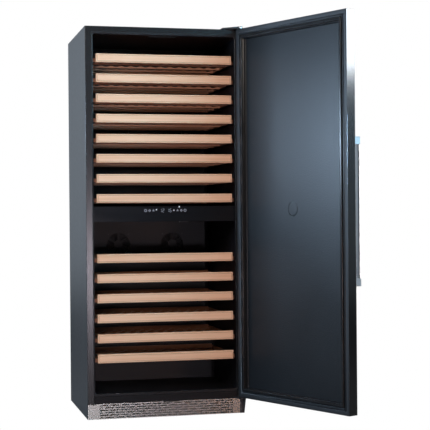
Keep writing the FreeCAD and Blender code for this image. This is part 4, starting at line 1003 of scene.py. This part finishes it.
class COOLER_OT_stage(CoolerOperator, bpy.types.Operator):
    """Sets up the pale floor, the studio lights and the camera"""

    bl_idname = "cooler.stage"
    bl_label = "Stage"

    def build(self, colours, sizes):
        bm = bmesh.new()
        bmesh.ops.create_circle(bm, cap_ends=True, segments=96, radius=FLOOR_RADIUS)
        mesh = bpy.data.meshes.new("studio_floor")
        bm.to_mesh(mesh)
        bm.free()
        floor = bpy.data.objects.new("studio_floor", mesh)
        bpy.context.scene.collection.objects.link(floor)
        paper = stage_floor("studio_floor", seen=(1, 1, 1), painted_pool=(0.5, 0.44, 0.4),
                            dark=(0.025, 0.025, 0.025))
        mesh.materials.append(paper)
        self.world()
        for name, place, target, width, height, power, spread, colour in LIGHTS:
            light = bpy.data.lights.new(name, "AREA")
            light.shape = "RECTANGLE"
            light.size, light.size_y = width, height
            light.energy, light.color = power, colour
            light.spread = math.radians(spread)
            lamp = bpy.data.objects.new(name, light)
            bpy.context.scene.collection.objects.link(lamp)
            lamp.location = place
            aim = Vector(target) - Vector(place)
            lamp.rotation_euler = aim.to_track_quat("-Z", "Y").to_euler()
        self.camera()
        bpy.context.scene.view_settings.view_transform = "Standard"

    def world(self):
        """White to the eye behind the cooler. Its soft light comes from behind and from above."""
        world = bpy.data.worlds.new("Studio")
        bpy.context.scene.world = world
        world.use_nodes = True
        nodes, links = world.node_tree.nodes, world.node_tree.links
        nodes.clear()
        way = nodes.new("ShaderNodeTexCoord")
        split = nodes.new("ShaderNodeSeparateXYZ")
        links.new(way.outputs["Generated"], split.inputs[0])
        shares = []
        for axis, low, high, least in ((1, 0.55, 0.95, 0.04), (2, -0.22, 0.0, 0.3)):
            share = nodes.new("ShaderNodeMapRange")
            share.interpolation_type = "SMOOTHSTEP"
            links.new(split.outputs[axis], share.inputs["Value"])
            share.inputs["From Min"].default_value = low
            share.inputs["From Max"].default_value = high
            share.inputs["To Min"].default_value = least
            shares.append(share.outputs[0])
        power = nodes.new("ShaderNodeMath")
        power.operation = "MULTIPLY"
        links.new(shares[0], power.inputs[0])
        links.new(shares[1], power.inputs[1])
        lit = nodes.new("ShaderNodeBackground")
        lit.inputs[0].default_value = (0.66, 0.75, 0.85, 1)
        links.new(power.outputs[0], lit.inputs[1])
        seen = nodes.new("ShaderNodeBackground")
        seen.inputs[0].default_value = (1, 1, 1, 1)
        path = nodes.new("ShaderNodeLightPath")
        mix = nodes.new("ShaderNodeMixShader")
        links.new(path.outputs["Is Camera Ray"], mix.inputs[0])
        links.new(lit.outputs[0], mix.inputs[1])
        links.new(seen.outputs[0], mix.inputs[2])
        output = nodes.new("ShaderNodeOutputWorld")
        links.new(mix.outputs[0], output.inputs[0])

    def camera(self):
        azimuth, pitch, roll = (math.radians(CAMERA[word]) for word in ("azimuth", "pitch", "roll"))
        level = Vector((math.sin(azimuth), math.cos(azimuth), 0))
        forward = level * math.cos(pitch) + Vector((0, 0, math.sin(pitch)))
        right = Vector((math.cos(azimuth), -math.sin(azimuth), 0))
        up = right.cross(forward)
        across = right * math.cos(roll) + up * math.sin(roll)
        upright = up * math.cos(roll) - right * math.sin(roll)
        data = bpy.data.cameras.new("Camera")
        data.lens = CAMERA["lens"]
        data.sensor_width = CAMERA["sensor"]
        camera = bpy.data.objects.new("Camera", data)
        bpy.context.scene.collection.objects.link(camera)
        matrix = Matrix((across, upright, -forward)).transposed().to_4x4()
        matrix.translation = CAMERA["place"]
        camera.matrix_world = matrix
        bpy.context.scene.camera = camera


BUILD_ORDER = (
    COOLER_OT_finishes, COOLER_OT_door_seal, COOLER_OT_trims, COOLER_OT_grip, COOLER_OT_display,
    COOLER_OT_screws, COOLER_OT_fans, COOLER_OT_back_sheet, COOLER_OT_motor, COOLER_OT_feet,
    COOLER_OT_hinge_hardware, COOLER_OT_lamps, COOLER_OT_shelf_lines, COOLER_OT_stage,
)


class COOLER_PT_panel(bpy.types.Panel):
    """Lists the settings and the build steps"""

    bl_label = "Wine Cooler"
    bl_idname = "COOLER_PT_panel"
    bl_space_type = "VIEW_3D"
    bl_region_type = "UI"
    bl_category = "Wine Cooler"

    def draw(self, context):
        for group in (context.scene.cooler_colours, context.scene.cooler_sizes):
            for name in group.__annotations__:
                self.layout.prop(group, name)
        for step in BUILD_ORDER:
            self.layout.operator(step.bl_idname)


CLASSES = (CoolerColours, CoolerSizes, *BUILD_ORDER, COOLER_PT_panel)


def register():
    for cls in CLASSES:
        bpy.utils.register_class(cls)
    bpy.types.Scene.cooler_colours = bpy.props.PointerProperty(type=CoolerColours)
    bpy.types.Scene.cooler_sizes = bpy.props.PointerProperty(type=CoolerSizes)


def unregister():
    del bpy.types.Scene.cooler_sizes
    del bpy.types.Scene.cooler_colours
    for cls in reversed(CLASSES):
        bpy.utils.unregister_class(cls)


def main():
    """Builds everything in order."""
    register()
    for step in BUILD_ORDER:
        group, name = step.bl_idname.split(".")
        getattr(getattr(bpy.ops, group), name)()


if __name__ == "__main__":
    main()
